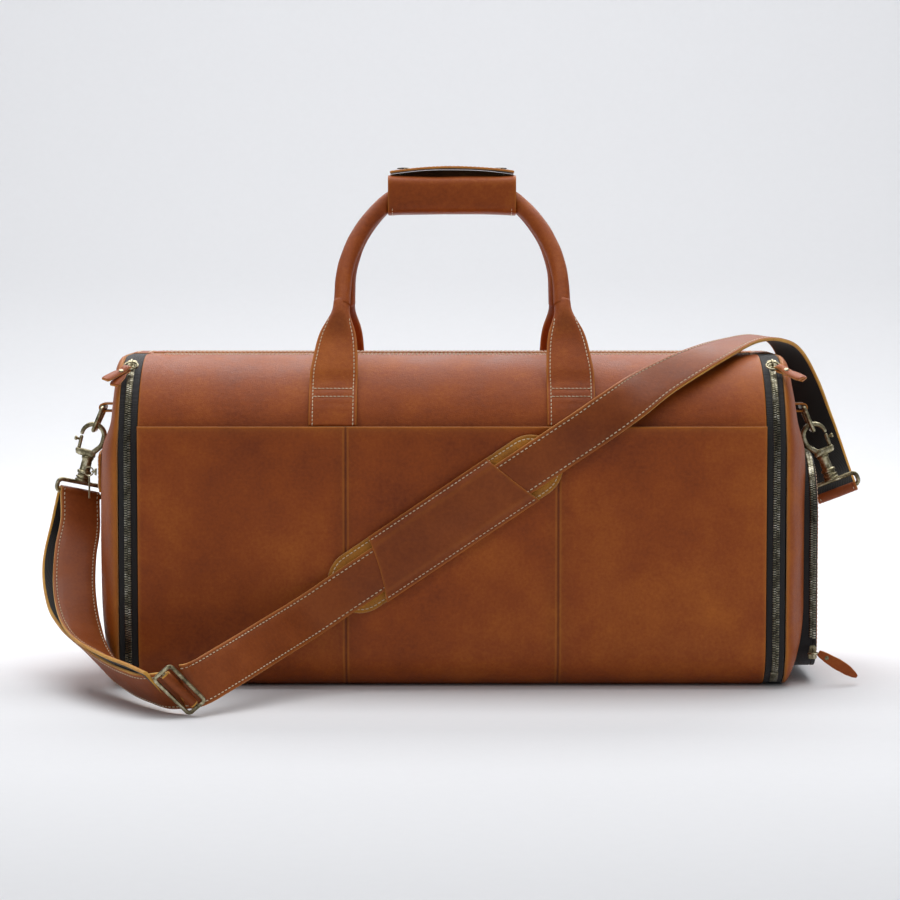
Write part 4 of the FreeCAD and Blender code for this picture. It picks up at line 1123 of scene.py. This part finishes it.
NECK = [(-37.0, 104.5, 21.0, 1.5, 6.0), (-18.0, 104.5, 21.0, 1.5, 6.0), (-2.0, 104.5, 21.0, 1.6, 5.0),
        (14.0, 104.0, 20.9, 1.8, 4.0), (30.0, 102.9, 19.4, 2.4, 3.2), (44.0, 102.0, 17.6, 3.4, 2.8),
        (54.0, 101.3, 15.2, 4.6, 2.6), (63.0, 100.4, 11.6, 6.0, 2.4), (70.0, 99.5, 8.9, 7.2, 2.1),
        (76.0, 98.8, 7.7, 7.6, 2.0), (84.0, 98.2, 7.4, 7.4, 2.0)]


def neck(way, side, sign):
    """Sewn base that runs up the shoulder, leaves it and gathers into the rolled tube."""
    rows = curve_through(NECK, 1.8)
    path, ups = [], []
    for s, x, *_ in rows:
        on, n = on_shell(sign * x, S_SHOULDER + 25.0 + (s + 37.0), 1.6)
        off = on_lean(sign * x, s)
        f = smooth(s, -6.0, 16.0)
        path.append(on * (1 - f) + off * f)
        ups.append(unit(n * (1 - f) + LEAN_OUT * f))
    path, ups = np.array(path), np.array(ups)
    m = 52
    a = np.linspace(0, 2 * math.pi, m, endpoint=False)
    prof, painted_shade, wear = [], [], []
    for i, (s, x, w, h, q) in enumerate(rows):
        c, d = np.cos(a), np.sin(a)
        u, v = power_curve(a, 2 / q)
        u, v = u * w, v * h
        inside = np.clip(1 - (np.abs(u) / w) ** 2, 0, 1)
        dish = 1.7 * math.exp(-((s - 46) / 17) ** 2)
        crease = 0.30 * math.sin(s * 0.85 + 0.6) * math.exp(-((s + 8) / 11) ** 2)
        v = v - np.where(d > 0, inside * dish, 0) + np.where(d > 0, inside * crease, 0)
        fold = 0.9 * math.exp(-((s - 58) / 13) ** 2)
        v = v + np.where(d > 0, fold * np.exp(-((np.abs(u) / w - 0.62) / 0.14) ** 2), 0)
        prof.append(np.stack([u, v], -1))
        flat = 1 - smooth(s, 55, 74)
        wear.append(np.where(np.abs(c) > 0.93, 1.0, np.where(np.abs(c) > 0.86, 0.45, 0.0)) * flat)
        # Painted shading: darker in the gathered fold on the outer face, and on the side towards the bag
        # where the neck rolls into the tube.
        painted_shade.append(np.where(d > 0, 0.28 * inside * math.exp(-((s - 60) / 12) ** 2), 0.25 * (1 - flat)))
    prof = np.array(prof)
    P = mirror(path, side)
    S = np.repeat([[1.0, 0, 0]], len(P), 0)
    U = mirror(ups, side)
    name = f"{way}_{'left' if sign < 0 else 'right'}_neck"
    first = way == "front" and sign < 0
    obj = swept(name, P, prof, [PANEL], S, U, body=None,
                points={"painted_shade": np.concatenate(painted_shade), "wear": np.concatenate(wear)},
                cad="handle_bases handle_necks" if first else "")
    start, end = on_lean(0.0, 6.0), on_lean(0.0, 77.0)
    blend = ("bag", "handles", tuple(mirror(start, side) * MM), tuple(mirror(end, side) * MM))
    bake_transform(obj)
    keep = rows[:, 0] < 66
    for edge in (-1, 1):
        inset = rows[keep, 2] - 3.3 + 1.5 * smooth(rows[keep, 0], 56, 66)
        lift = np.array([np.interp(edge * k, prof[i][1:m // 2][::-1, 0], prof[i][1:m // 2][::-1, 1])
                         for i, k in zip(np.nonzero(keep)[0], inset)])
        row = P[keep] + S[keep] * (edge * inset)[:, None] + U[keep] * lift[:, None]
        sew(name, row, U[keep], 3.6)
    for s in (-9.5, -2.0):
        i = int(np.argmin(np.abs(rows[:, 0] - s)))
        u = np.linspace(-17.4, 17.4, 14)
        row = P[i] + S[i] * u[:, None] + U[i] * (rows[i, 3] + 0.05)
        sew(name, row, U[i], 3.6)
    make_threads(name, "bag", blend=blend)


handles()

WRAP_Z, WRAP_X, WRAP_Y, WRAP_H = 434.4, 58.0, 27.6, 18.4
FLAP_X, FLAP_Z, FLAP_BOW = WRAP_X - 1.5, WRAP_Z + WRAP_H + 3.5, 4.2


def grip():
    """Padded leather wrap round both tubes, its closing flap on top, snaps and foam."""
    xs = spaced(-WRAP_X, WRAP_X, 4.0)
    a = np.linspace(0, 2 * math.pi, 120, endpoint=False)
    rows_p, rows_n = [], []
    for x in xs:
        e = abs(x) / WRAP_X
        flare = -1.1 * (1 - e ** 3)
        y, z = power_curve(a, 0.42)
        y, z = y * (WRAP_Y + flare - 0.1), z * (WRAP_H + 0.8 * flare - 0.1)
        sag = 0.6 * dents(x, a * 26, 17, 35, 90) * (1 - e ** 4)
        p = xyz(x, y, z)
        n = unit(xyz(0.0, np.roll(z, -1) - np.roll(z, 1), np.roll(y, 1) - np.roll(y, -1)))
        rows_p.append(p - n * sag[:, None] + (0, 0, WRAP_Z))
        rows_n.append(n)
    P, N = np.array(rows_p).transpose(1, 0, 2), np.array(rows_n).transpose(1, 0, 2)
    wrap = sheet("grip_wrap_skin", P, N, 2.3, SKIN, closed=True, body="handles",
                 cad="grip_wrap")
    for x in (-WRAP_X + 3.4, WRAP_X - 3.4):
        i = int(np.argmin(np.abs(xs - x)))
        under = (np.degrees(a) >= 200) & (np.degrees(a) <= 340)
        sew("grip", P[under, i], N[under, i], 3.8)
    put = placed((0, 0, WRAP_Z), (1, 0, 0), (0, 0, 1))
    plan = ((-52, 22, 13), (-51, 24, 15.2), (-30, 24.3, 15.4), (30, 24.3, 15.4), (51, 24, 15.2), (52, 22, 13))
    foam = loaf(put, [(x, half, -high, high) for x, half, high in plan], 0.45, 40)
    joined("grip_foam", [foam], [FOAM], body="handles", cad="grip_padding")
    xs, ys = spaced(-FLAP_X, FLAP_X, 4.0), spaced(-20.0, 17.0, 3.0)
    X, Y = net(xs, ys)
    z = FLAP_Z + FLAP_BOW * (1 - (X / FLAP_X) ** 2) - 0.25 * ripple(X, Y, 71, 30, 80)
    P = xyz(X, Y, z)
    N = unit(xyz(2 * FLAP_BOW * X / FLAP_X ** 2, 0.0, 1.0))
    sheet("grip_flap_skin", P, N, 2.0, SKIN, body="grip_flap", cad="grip_flap")
    back = np.array([12.0, 13.2, 13.2, 12.0])
    top, foot = z[:, -1:] - 2.4, WRAP_Z + WRAP_H - 2.4
    high = foot + (top - foot) * np.array([0.0, 0.35, 0.7, 1.0])
    across = xyz(0 * high, 1.0, 0.0)
    sheet("flap_back_strip", xyz(xs[:, None], back, high), across, 1.2, SKIN, body="handles")
    sew("flap", xyz(xs[1:-1], -17.0, z[1:-1, 1]), (0, 0, 1.0), 3.8)
    caps = []
    for x in (-44.0, 44.0):
        caps.append(lathe((x, -8, FLAP_Z + 1.9), (0, 0, 1),
                          [(0, 0.5), (0, 5.6), (0.3, 6.0), (0.8, 5.8), (1.2, 4.6), (1.4, 2.6), (1.35, 2.2),
                           (1.1, 1.8), (1.15, 0.4)]))
    joined("flap_snap_caps", caps, [DARK], body="grip_flap", cad="snap_caps")


grip()


# ---- rings, hooks and their tabs ----
PIN_Z = 241.0


class Hanger:
    """Where one end's D-ring, hook and strap ring hang: tilt is the hook's lean, across the strap ring's."""

    def __init__(self, name, side, surface, tilt, across):
        self.name, self.side = name, side
        self.pin = np.array([side * (surface + 4.2), 0, PIN_Z])
        self.down = np.array([side * math.sin(tilt), 0, -math.cos(tilt)])
        ring_tilt = math.radians(24)
        self.ring_down = np.array([side * math.sin(ring_tilt), 0, -math.cos(ring_tilt)])
        self.eye = self.pin + self.ring_down * 23.0 + self.down * 5.2
        away = np.array([self.down[2], 0, -self.down[0]]) * (-side)
        self.put = placed(self.eye, away, -self.down)
        across = np.array(across, float)
        self.half = unit(across - self.down * np.dot(across, self.down)) * 22.5
        self.top, self.bottom = self.eye + self.down * 45.0, self.eye + self.down * 56.0
        normal = unit(np.cross(self.half, self.down))
        self.offset = normal * math.copysign(3.9, normal[1])


HANGERS = (Hanger("left", -1, 314.8, math.radians(14), (0.86, 0.44, -0.27)),
           Hanger("right", 1, 317.3, math.radians(22), (0.92, -0.16, 0.36)))


def rounded_loop(points, radius, count=8):
    """Closed line through corner points with rounded corners."""
    out = []
    for i in range(len(points)):
        p = np.asarray(points[i], float)
        a, b = unit(points[i - 1] - p), unit(points[(i + 1) % len(points)] - p)
        half = 0.5 * math.acos(float(np.clip(np.dot(a, b), -1, 1)))
        cut = radius / math.tan(half)
        centre = p + unit(a + b) * (radius / math.sin(half))
        u, v = p + a * cut - centre, p + b * cut - centre
        for t in np.linspace(0, 1, count):
            out.append(centre + unit(u * (1 - t) + v * t) * radius)
    return np.array(out)


def hook_parts(h):
    local = [(-2.6, 0, -16.5), (-6.2, 0, -12.2), (-9.6, 0, -7.2), (-10.3, 0, -1.0)]
    t = np.linspace(math.pi, 0, 22)
    bend = [(10.3 * math.cos(k), 0, 10.3 * math.sin(k)) for k in t]
    line = curve_through(local[:-1] + bend + [(10.2, 0, -1.4)], 1.2)
    k = np.linspace(0, 1, len(line))
    radius = np.interp(k, [0, 0.1, 0.3, 0.55, 0.85, 0.97, 1.0], [2.9, 2.6, 2.7, 2.55, 2.2, 1.9, 1.2])
    hook_bar = bar(h.put(line), radius, 16, profile=squircle(1.0, 0.92, 0.85, 16))
    up, away = -h.down, h.put([[1.0, 0, 0]])[0] - h.eye
    head = loaf(placed(h.eye, up, away),
                [(-20.0, 3.0, -6.0, 9.0), (-19.2, 3.3, -6.6, 11.6), (-16.0, 3.3, -6.4, 12.8),
                 (-14.6, 3.1, -5.6, 12.6), (-13.9, 2.5, -4.6, 12.0)], 0.5)
    barrel = lathe(h.eye + h.down * 36.0, up,
                   [(0, 2.75), (0, 6.3), (0.5, 6.6), (2.0, 6.6), (2.5, 6.1), (2.9, 5.2), (3.8, 5.0),
                    (12.5, 4.7), (13.4, 5.2), (14.2, 5.6), (15.4, 5.6), (16.3, 5.0), (16.5, 2.0)])
    joined(f"{h.name}_hook_casting", [hook_bar, head, barrel], [BRASS], body=f"{h.name}_hook",
           cad=f"{h.name}_hook")
    bolt = lathe(h.put([[10.0, 0, -19.3]])[0], up,
                 [(0, 0.5), (0, 1.65), (16.2, 1.65), (17.0, 1.0), (17.1, 0.3)], 16)
    stud = lathe(h.put([[10.0, 0, -6.0]])[0], away,
                 [(0, 0.6), (0.2, 1.2), (3.0, 1.1), (4.0, 1.9), (5.4, 2.1), (6.0, 1.5), (6.1, 0.3)], 16)
    joined(f"{h.name}_bolt", [bolt, stud], [BRASS], body=f"{h.name}_hook_bolt",
           cad=f"{h.name}_hook_bolt")
    swivel = lathe(h.eye + h.down * 44.0, up,
                   [(0, 2.0), (0, 5.6), (0.5, 6.7), (1.4, 7.0), (2.2, 6.8), (2.6, 5.7), (3.2, 5.7),
                    (3.6, 6.6), (4.6, 6.7), (5.2, 6.4), (5.6, 5.4), (6.1, 5.3), (6.5, 5.8), (7.3, 5.6),
                    (7.4, 2.4), (17.6, 2.3)])
    corners = [h.top + h.half, h.bottom + h.half, h.bottom - h.half, h.top - h.half]
    ring = bar(rounded_loop(corners, 4.2), 1.95, 14, True, hint=np.cross(h.half, h.down))
    joined(f"{h.name}_ring_and_swivel", [swivel, ring], [BRASS],
           cad=f"{h.name}_strap_ring")


def ring_tab(h):
    """Leather loop sewn to the end panel, with the D-ring's bar in its fold."""
    side, pin = h.side, h.pin
    bulge, slumped = (LEFT_BULGE, 8.0) if side < 0 else (RIGHT_BULGE, 4.5)
    wall = side * (float(dome_x(np.array(0.0), np.array(PIN_Z), bulge)) - slumped)
    t = np.linspace(-math.pi / 2, math.pi / 2, 12)
    bend = xyz(pin[0] + side * 3.25 * np.cos(t), 0.0, pin[2] - 3.25 * np.sin(t))
    lead = np.array([[wall, 0, pin[2] + 3.2], [0.5 * (wall + pin[0]), 0, pin[2] + 3.3]])
    tail = lead[::-1] * (1, 1, -1) + (0, 0, 2 * pin[2])
    line = resampled(np.concatenate([lead, bend, tail]), 0.9)
    shape = unroll(line, (0, side * 1.0, 0), np.full(len(line), 21.0), 1.5)
    joined(f"{h.name}_tab_skin", [shape], SKIN, flat=(1,),
           cad=f"{h.name}_ring_tab")


for hanger in HANGERS:
    hook_parts(hanger)
    ring_tab(hanger)


# ---- strap ----
STRAP_W, STRAP_T = 38.0, 3.2
SLOPE = math.radians(33.9)
PAD_U, PAD_W, STRAP_Y = -6.0, 146.0, -141.3
PAD_LONG, PAD_HALF, SLEEVE_SEAM = 118.0, 28.0, 25.2


def strap(name, stations, trim, node):
    """Leather strap with a cloth back; each station is a centre point and the way its width runs.

    trim is how many stations at each end have no stitches.
    """
    rows = curve_through([tuple(p) + tuple(unit(a)) for p, a in stations], 3.0)
    path, across = rows[:, :3], unit(rows[:, 3:])
    along = unit(np.gradient(path, axis=0))
    back = unit(np.cross(along, across))
    across = unit(np.cross(back, along))
    face = -back
    w, t = 0.5 * STRAP_W, 0.5 * STRAP_T
    # Half the upper face as (across, up, wear, shade), from its cut edge over the stitch groove; the shade
    # column is painted shading in the groove.
    left = [(-w, -t + 0.5, 0, 0), (-w - 0.1, 0, 0, 0), (-w, t - 0.6, 0.9, 0), (-w + 0.8, t, 0.45, 0),
            (-w + 2.4, t, 0.1, 0), (-w + 3.0, t - 0.16, 0, 0.35), (-w + 3.6, t, 0.05, 0),
            (-9, t + 0.08, 0, 0)]
    right = [(-x, y, worn, dark) for x, y, worn, dark in left[::-1]]
    under = [(x, -t, 0, 0) for x in (w - 0.6, w - 1.6, 0, -w + 1.6, -w + 0.6)]
    prof = np.array(left + [(0, t + 0.12, 0, 0)] + right + under)
    kinds = [1] * 2 + [0] * 12 + [1] * 4 + [2] * 2 + [1] * 2
    n = len(path)
    wave = np.repeat(prof[None, :, :2], n, 0)
    wave[:, :, 0] *= (1 + 0.006 * 0.25 * ripple(np.arange(n) * 3.0, 0, 61, 40, 120))[:, None]
    swept(name, path, wave, STRAP_SKIN, across, face, kinds, 1, cad=node,
          points={"wear": np.tile(prof[:, 2], n), "painted_shade": np.tile(prof[:, 3], n)})
    a, b = trim[0], n - trim[1]
    for edge in (-1, 1):
        sew("strap", path[a:b] + across[a:b] * edge * (w - 3.0) + face[a:b] * t, face[a:b], 4.4)


def round_bar(centre, start, axis, angle, steps, across):
    """Stations round a ring's bar: start turned about axis through the angle."""
    out = []
    axis = unit(axis)
    for a in np.linspace(0, angle, steps):
        v = start * math.cos(a) + np.cross(axis, start) * math.sin(a)
        v = v + axis * np.dot(axis, start) * (1 - math.cos(a))
        out.append((centre + v, across))
    return out


def straps():
    c, s = math.cos(SLOPE), math.sin(SLOPE)
    flat = (s, 0, -c)

    def on_line(d):
        return (PAD_U + d * c, STRAP_Y, PAD_W + d * s)

    left, right = HANGERS
    end = right.bottom + right.offset
    long_run = [
        ((-223.5, -277.5, 24.4), (0.68, 0.16, -0.72)), ((-213, -275.5, 26), (0.66, 0.15, -0.73)),
        ((-188, -247, 37), (0.62, 0.12, -0.78)), ((-152, -193, 54), (0.58, 0.05, -0.81)),
        ((-122, -154, 69), (0.56, 0.0, -0.83)), *((on_line(d), flat) for d in (-107, -90, 0, 110, 153)),
        ((150, -134.5, 251), (0.59, -0.24, -0.77)), ((177, -112.5, 268), (0.62, -0.535, -0.573)),
        ((226, -80, 292), (0.725, -0.639, -0.258)), ((262, -30, 303), (0.74, -0.67, -0.02)),
        ((289, 3, 304), (0.70, -0.71, -0.08)), ((309, 27, 295.5), (0.67, -0.73, -0.14)),
        ((327, 44, 262), (0.74, -0.67, 0.0)), ((339, 48, 224), (0.84, -0.50, 0.12)),
        (tuple(end + (-4.2, 21.0, 18.2)), (0.92, -0.3, 0.28))]
    axis = np.cross(right.offset, right.down)
    long_run += round_bar(right.bottom, right.offset, axis, math.radians(225), 9, right.half)
    strap("long_strap", long_run, (0, 3), "strap_long_run")
    near = [
        ((-339.5, -20, 135), (0.86, 0.38, -0.25)), ((-340, -50, 112), (0.92, 0.20, -0.20)),
        ((-337, -84, 84), (0.93, 0.25, -0.10)), ((-328, -120, 60), (0.90, 0.36, -0.20)),
        ((-313, -158, 43), (0.80, 0.44, -0.42)), ((-286, -205, 32), (0.68, 0.42, -0.60)),
        ((-258, -247, 26), (0.66, 0.28, -0.70)), ((-243, -271, 23), (0.66, 0.2, -0.72))]
    far = [
        ((-352, 5, 130), (0.86, 0.42, -0.20)), ((-355, -26, 95), (0.88, 0.45, -0.05)),
        ((-346, -66, 66), (0.86, 0.50, -0.06)), ((-331, -106, 46), (0.78, 0.50, -0.36)),
        ((-312, -152, 31), (0.60, 0.36, -0.70)), ((-285, -203, 22.0), (0.58, 0.30, -0.76)),
        ((-264, -240, 19.5), (0.60, 0.26, -0.75)), ((-247, -263, 18.8), (0.64, 0.2, -0.74)),
        ((-226.5, -277.0, 21.8), (0.68, 0.16, -0.72))]
    axis = np.cross(-left.offset, -left.down)
    over = round_bar(left.bottom, -left.offset, axis, math.pi, 9, left.half)
    strap("short_strap", near[::-1] + over + far, (2, 2), "strap_short_loop")


BUCKLE = np.array([-225.0, -281.0, 22.7])
BUCKLE_ACROSS, BUCKLE_FACE = unit((0.68, 0.16, -0.72)), unit((-0.1, -0.96, -0.2))


def buckle():
    along = unit(np.cross(BUCKLE_ACROSS, BUCKLE_FACE))
    face = unit(np.cross(along, BUCKLE_ACROSS))
    corners = [BUCKLE + along * a * 9.4 + BUCKLE_ACROSS * b * 20.9
               for a, b in ((-1, -1), (1, -1), (1, 1), (-1, 1))]
    frame_bar = bar(rounded_loop(corners, 3.0, 7), 1.0, 20, True, profile=squircle(1.55, 1.55, 0.55, 20),
                    hint=face)
    middle = bar([BUCKLE - BUCKLE_ACROSS * 21.0, BUCKLE + BUCKLE_ACROSS * 21.0], 1.45, 16, hint=face)
    joined("slide_buckle_frame", [frame_bar, middle], [BRASS],
           cad="slide_buckle")
    t = np.linspace(math.radians(-110), math.radians(110), 13)
    path = [BUCKLE + along * (2.9 * math.sin(k)) + face * (2.9 * math.cos(k)) for k in t]
    first, last = path[0], path[-1]
    path = [first - face * 1.6 - along * 0.4] + path + [last - face * 1.6 + along * 0.4]
    path = resampled(np.array(path), 0.8)
    shape = unroll(path, -BUCKLE_ACROSS, np.full(len(path), 36.0), 1.6)
    joined("buckle_wrap", [shape], STRAP_SKIN, flat=(1,))


straps()
buckle()


# ---- shoulder pad ----
def pad_frame():
    c, s = math.cos(SLOPE), math.sin(SLOPE)
    return placed((PAD_U, 0, PAD_W), (c, 0, s), (0, -1, 0))


def pad_base():
    """Suede pad: thick in the middle, pinched along its sewn edge, with round narrowed ends."""
    xs = spaced(-PAD_LONG, PAD_LONG, 3.0)
    vs = np.concatenate([np.linspace(-1, -0.8, 8), np.linspace(-0.76, 0.76, 24), np.linspace(0.8, 1, 8)])
    tip = smooth(PAD_LONG - np.abs(xs), 0, 22)
    half = PAD_HALF * np.sqrt(np.clip(1 - ((np.abs(xs) - 90.0) / 28.2) ** 2 * (np.abs(xs) > 90), 0.0, 1))
    half = np.maximum(half, 3.0)
    X, V2 = net(xs, vs)
    Y = V2 * half[:, None]
    edge = np.minimum((1 - np.abs(V2)) * half[:, None], PAD_LONG + 0.2 - np.abs(X))
    swell = smooth(edge, 0.0, 9.0) - 0.22 * np.exp(-((edge - 3.2) / 1.0) ** 2)
    lumps = 0.12 * ripple(X, Y, 83, 18, 50)
    z = 137.0 + (1.7 * swell + lumps * tip[:, None])
    put = pad_frame()
    P = put(xyz(X, Y, z))
    N = np.broadcast_to((0, -1.0, 0), P.shape)
    base = sheet("shoulder_pad_suede", P, N, 2.3, (SUEDE, STRAP_RAW, SUEDE), drop=0.5,
                 body="shoulder_pad", cad="shoulder_pad_base")
    t = np.linspace(0, 2 * math.pi, 300)
    hx = 114.8 * power_curve(t, 0.55)[0]
    hh = np.interp(hx, xs, half) - 3.1
    inside = np.clip(1 - (np.abs(hx) / 114.9) ** 30, 0, 1)
    hy = np.clip(PAD_HALF * power_curve(t, 0.4)[1], -hh, hh) * inside
    row = put(xyz(hx, hy, 138.35))
    sew("pad", row, (0, -1.0, 0), 4.0)


def pad_sleeve():
    """Leather cover over the strap: flat along both sewn edges, lifted over the strap, ends cut askew."""
    tip = np.array([0.97, 0.985, 0.995, 1.0])
    us = np.concatenate([-tip[::-1], np.linspace(-0.94, 0.94, 44), tip])
    vs = spaced(-28.4, 28.4, 1.6, (-SLEEVE_SEAM, SLEEVE_SEAM))
    U, Y = net(us, vs)
    skew = 9.0 * (Y / PAD_HALF)
    bowed = 2.2 * (1 - (Y / PAD_HALF) ** 2)
    half = 71.0 + skew * -1.0 - np.where(U < 0, bowed, 0.3 * bowed)
    X = U * half
    lift = smooth(28.4 - np.abs(Y), 1.0, 8.6)
    rest = 1.0 - 0.25 * np.exp(-((np.abs(Y) - SLEEVE_SEAM) / 0.8) ** 2)
    z = 140.2 + rest * 0.6 + 3.6 * lift + 0.35 * ripple(X, Y, 91, 26, 70) * lift
    put = pad_frame()
    P = put(xyz(X, Y, z))
    N = unit(np.cross(np.gradient(P, axis=0), np.gradient(P, axis=1)))
    N *= np.sign(-N[..., 1].sum())
    wear = 0.2 * np.exp(-((np.abs(Y) - 19.5) / 1.6) ** 2)
    sheet("shoulder_pad_cover", P, N, 1.6, (STRAP, STRAP_RAW, FLESH), wear=wear, body="shoulder_pad",
          cad="shoulder_pad_sleeve", drop=0.35)
    for edge in (-SLEEVE_SEAM, SLEEVE_SEAM):
        j = int(np.argmin(np.abs(vs - edge)))
        sew("pad", P[2:-2, j], N[2:-2, j], 4.0)


pad_base()
pad_sleeve()


# ---- lining and the insides ----
LINING_END, POUCH_BACK = 191.0, 202.0


def cloth_end(name, loop, middle_z, scale, x, slack, seed):
    """Flat slack cloth inside a loop, scaled about its middle, facing away from the bag's inside."""
    t = np.linspace(0.02, 1.0, 14)
    Y = loop[:, :1] * scale * t[None]
    Z = middle_z + (loop[:, 1:] - middle_z) * scale * t[None]
    P = np.stack([x + slack * ripple(Y, Z, seed, 60, 140), Y, Z], -1)
    way = 1.0 if x == LINING_END else -1.0
    sheet(name, P, np.broadcast_to((way, 0, 0), P.shape), 1.0, LININGS, closed=True)


def inner_cloth():
    """Cloth bag inside the main compartment, open at the mouth, and the shoe compartment's pouch."""
    ss = spaced(0.0, S_TOP - 6.0, 9.0)
    xs = spaced(-286.0, 190.0, 9.0)
    for side, name in ((-1, "front"), (1, "back")):
        X, S = net(xs, ss)
        slack = 6.0 + 2.0 * dents(X, S, 101 + side, 50, 140)
        P, N = on_shell(X, S, -slack, side)
        sheet(f"lining_{name}", P, N, 1.0, LININGS,
              cad="lining" if side < 0 else "")
    cloth_end("lining_left_end", OUTLINE[::8], MID_Z, 0.94, -287.0, 1.5, 7)
    cloth_end("lining_right_end", OUTLINE[::8], MID_Z, 0.94, LINING_END, 1.5, 7)
    P, N = arch_wall(4.5, 24, spaced(POUCH_BACK, 300.0, 7.0))
    slack = 1.2 * dents(P[..., 0], P[..., 1] + P[..., 2], 105, 40, 110)
    sheet("shoe_pouch_wall", P - N * slack[..., None], N, 1.0, LININGS, closed=True,
          cad="shoe_pouch")
    cloth_end("shoe_pouch_back", arch_points(4.5, 24), SHOE_MID_Z, 1.0, POUCH_BACK, 1.2, 9)


inner_cloth()

finishes = {"base_board": BOARD, "handle_cores": ROPE, "snap_studs": DARK, "left_d_ring": BRASS,
            "right_d_ring": BRASS}
for node, mat in finishes.items():
    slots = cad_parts[node].data.materials
    slots.clear()
    slots.append(mat)
    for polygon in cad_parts[node].data.polygons:
        polygon.use_smooth = node in ("left_d_ring", "right_d_ring")

for group, body in (("panel_tops", "bag"), ("gussets", "bag"), ("side_pocket", "bag"), ("strap", "bag"),
                    ("bag_rows", "bag"), ("front_mouth_lip_rows", "front_mouth_lip"),
                    ("back_mouth_lip_rows", "back_mouth_lip"), ("tubes", "handles"), ("grip", "handles"),
                    ("flap", "grip_flap"), ("pad", "shoulder_pad"), ("shoe_door", "shoe_door")):
    make_threads(group, body)


# ---- floor, light ----
def stage():
    s = Shader("floor_paper")
    grain = s.noise(90.0, 4.0)
    s.tones(grain, (0.3, "E7E8EB"), (0.7, "E8E9EC"))
    s.settings(Roughness=0.9, Specular_IOR_Level=0.1)
    y = [-6.0, 1.6]
    z = [0.0, 0.0]
    for k in range(1, 13):
        a = math.pi / 2 * k / 12
        y.append(1.6 + 1.4 * math.sin(a))
        z.append(1.4 * (1 - math.cos(a)))
    y.append(3.0)
    z.append(6.0)
    verts = [(x, a, b) for a, b in zip(y, z) for x in (-7.0, 7.0)]
    faces = [(2 * i, 2 * i + 1, 2 * i + 3, 2 * i + 2) for i in range(len(y) - 1)]
    mesh = bpy.data.meshes.new("floor")
    mesh.from_pydata(verts, [], faces)
    mesh.materials.append(s.mat)
    for polygon in mesh.polygons:
        polygon.use_smooth = True
    floor = bpy.data.objects.new("floor", mesh)
    bpy.context.scene.collection.objects.link(floor)


def area_light(name, place, target, size, watts):
    data = bpy.data.lights.new(name, "AREA")
    data.shape = "RECTANGLE"
    data.size, data.size_y = size
    data.energy = watts
    light = bpy.data.objects.new(name, data)
    bpy.context.scene.collection.objects.link(light)
    light.location = place
    light.rotation_euler = (Vector(target) - Vector(place)).to_track_quat("-Z", "Y").to_euler()


stage()
area_light("top_softbox", (0.0, 0.15, 2.0), (0, -0.05, 0.1), (2.4, 1.1), 31)
area_light("front_softbox", (0.0, -1.5, 1.9), (0, 0, 0.2), (2.0, 0.7), 5)
area_light("rear_softbox", (0.0, 1.4, 1.55), (0, -0.3, 0.0), (2.6, 0.5), 26)
area_light("left_softbox", (-2.0, -1.9, 0.9), (0, 0, 0.15), (1.0, 1.4), 5)
area_light("right_softbox", (2.1, -1.5, 0.9), (0, 0, 0.15), (0.8, 1.4), 3)
area_light("back_light", (0.0, 1.0, 2.4), (0, 2.9, 0.9), (4.5, 0.8), 46)
world = bpy.data.worlds.new("studio")
bpy.context.scene.world = world
world.use_nodes = True
world.node_tree.nodes["Background"].inputs["Color"].default_value = (0.97, 0.98, 1.0, 1.0)
world.node_tree.nodes["Background"].inputs["Strength"].default_value = 0.2
bpy.context.scene.view_settings.view_transform = "Standard"
bpy.context.scene.view_settings.look = "None"
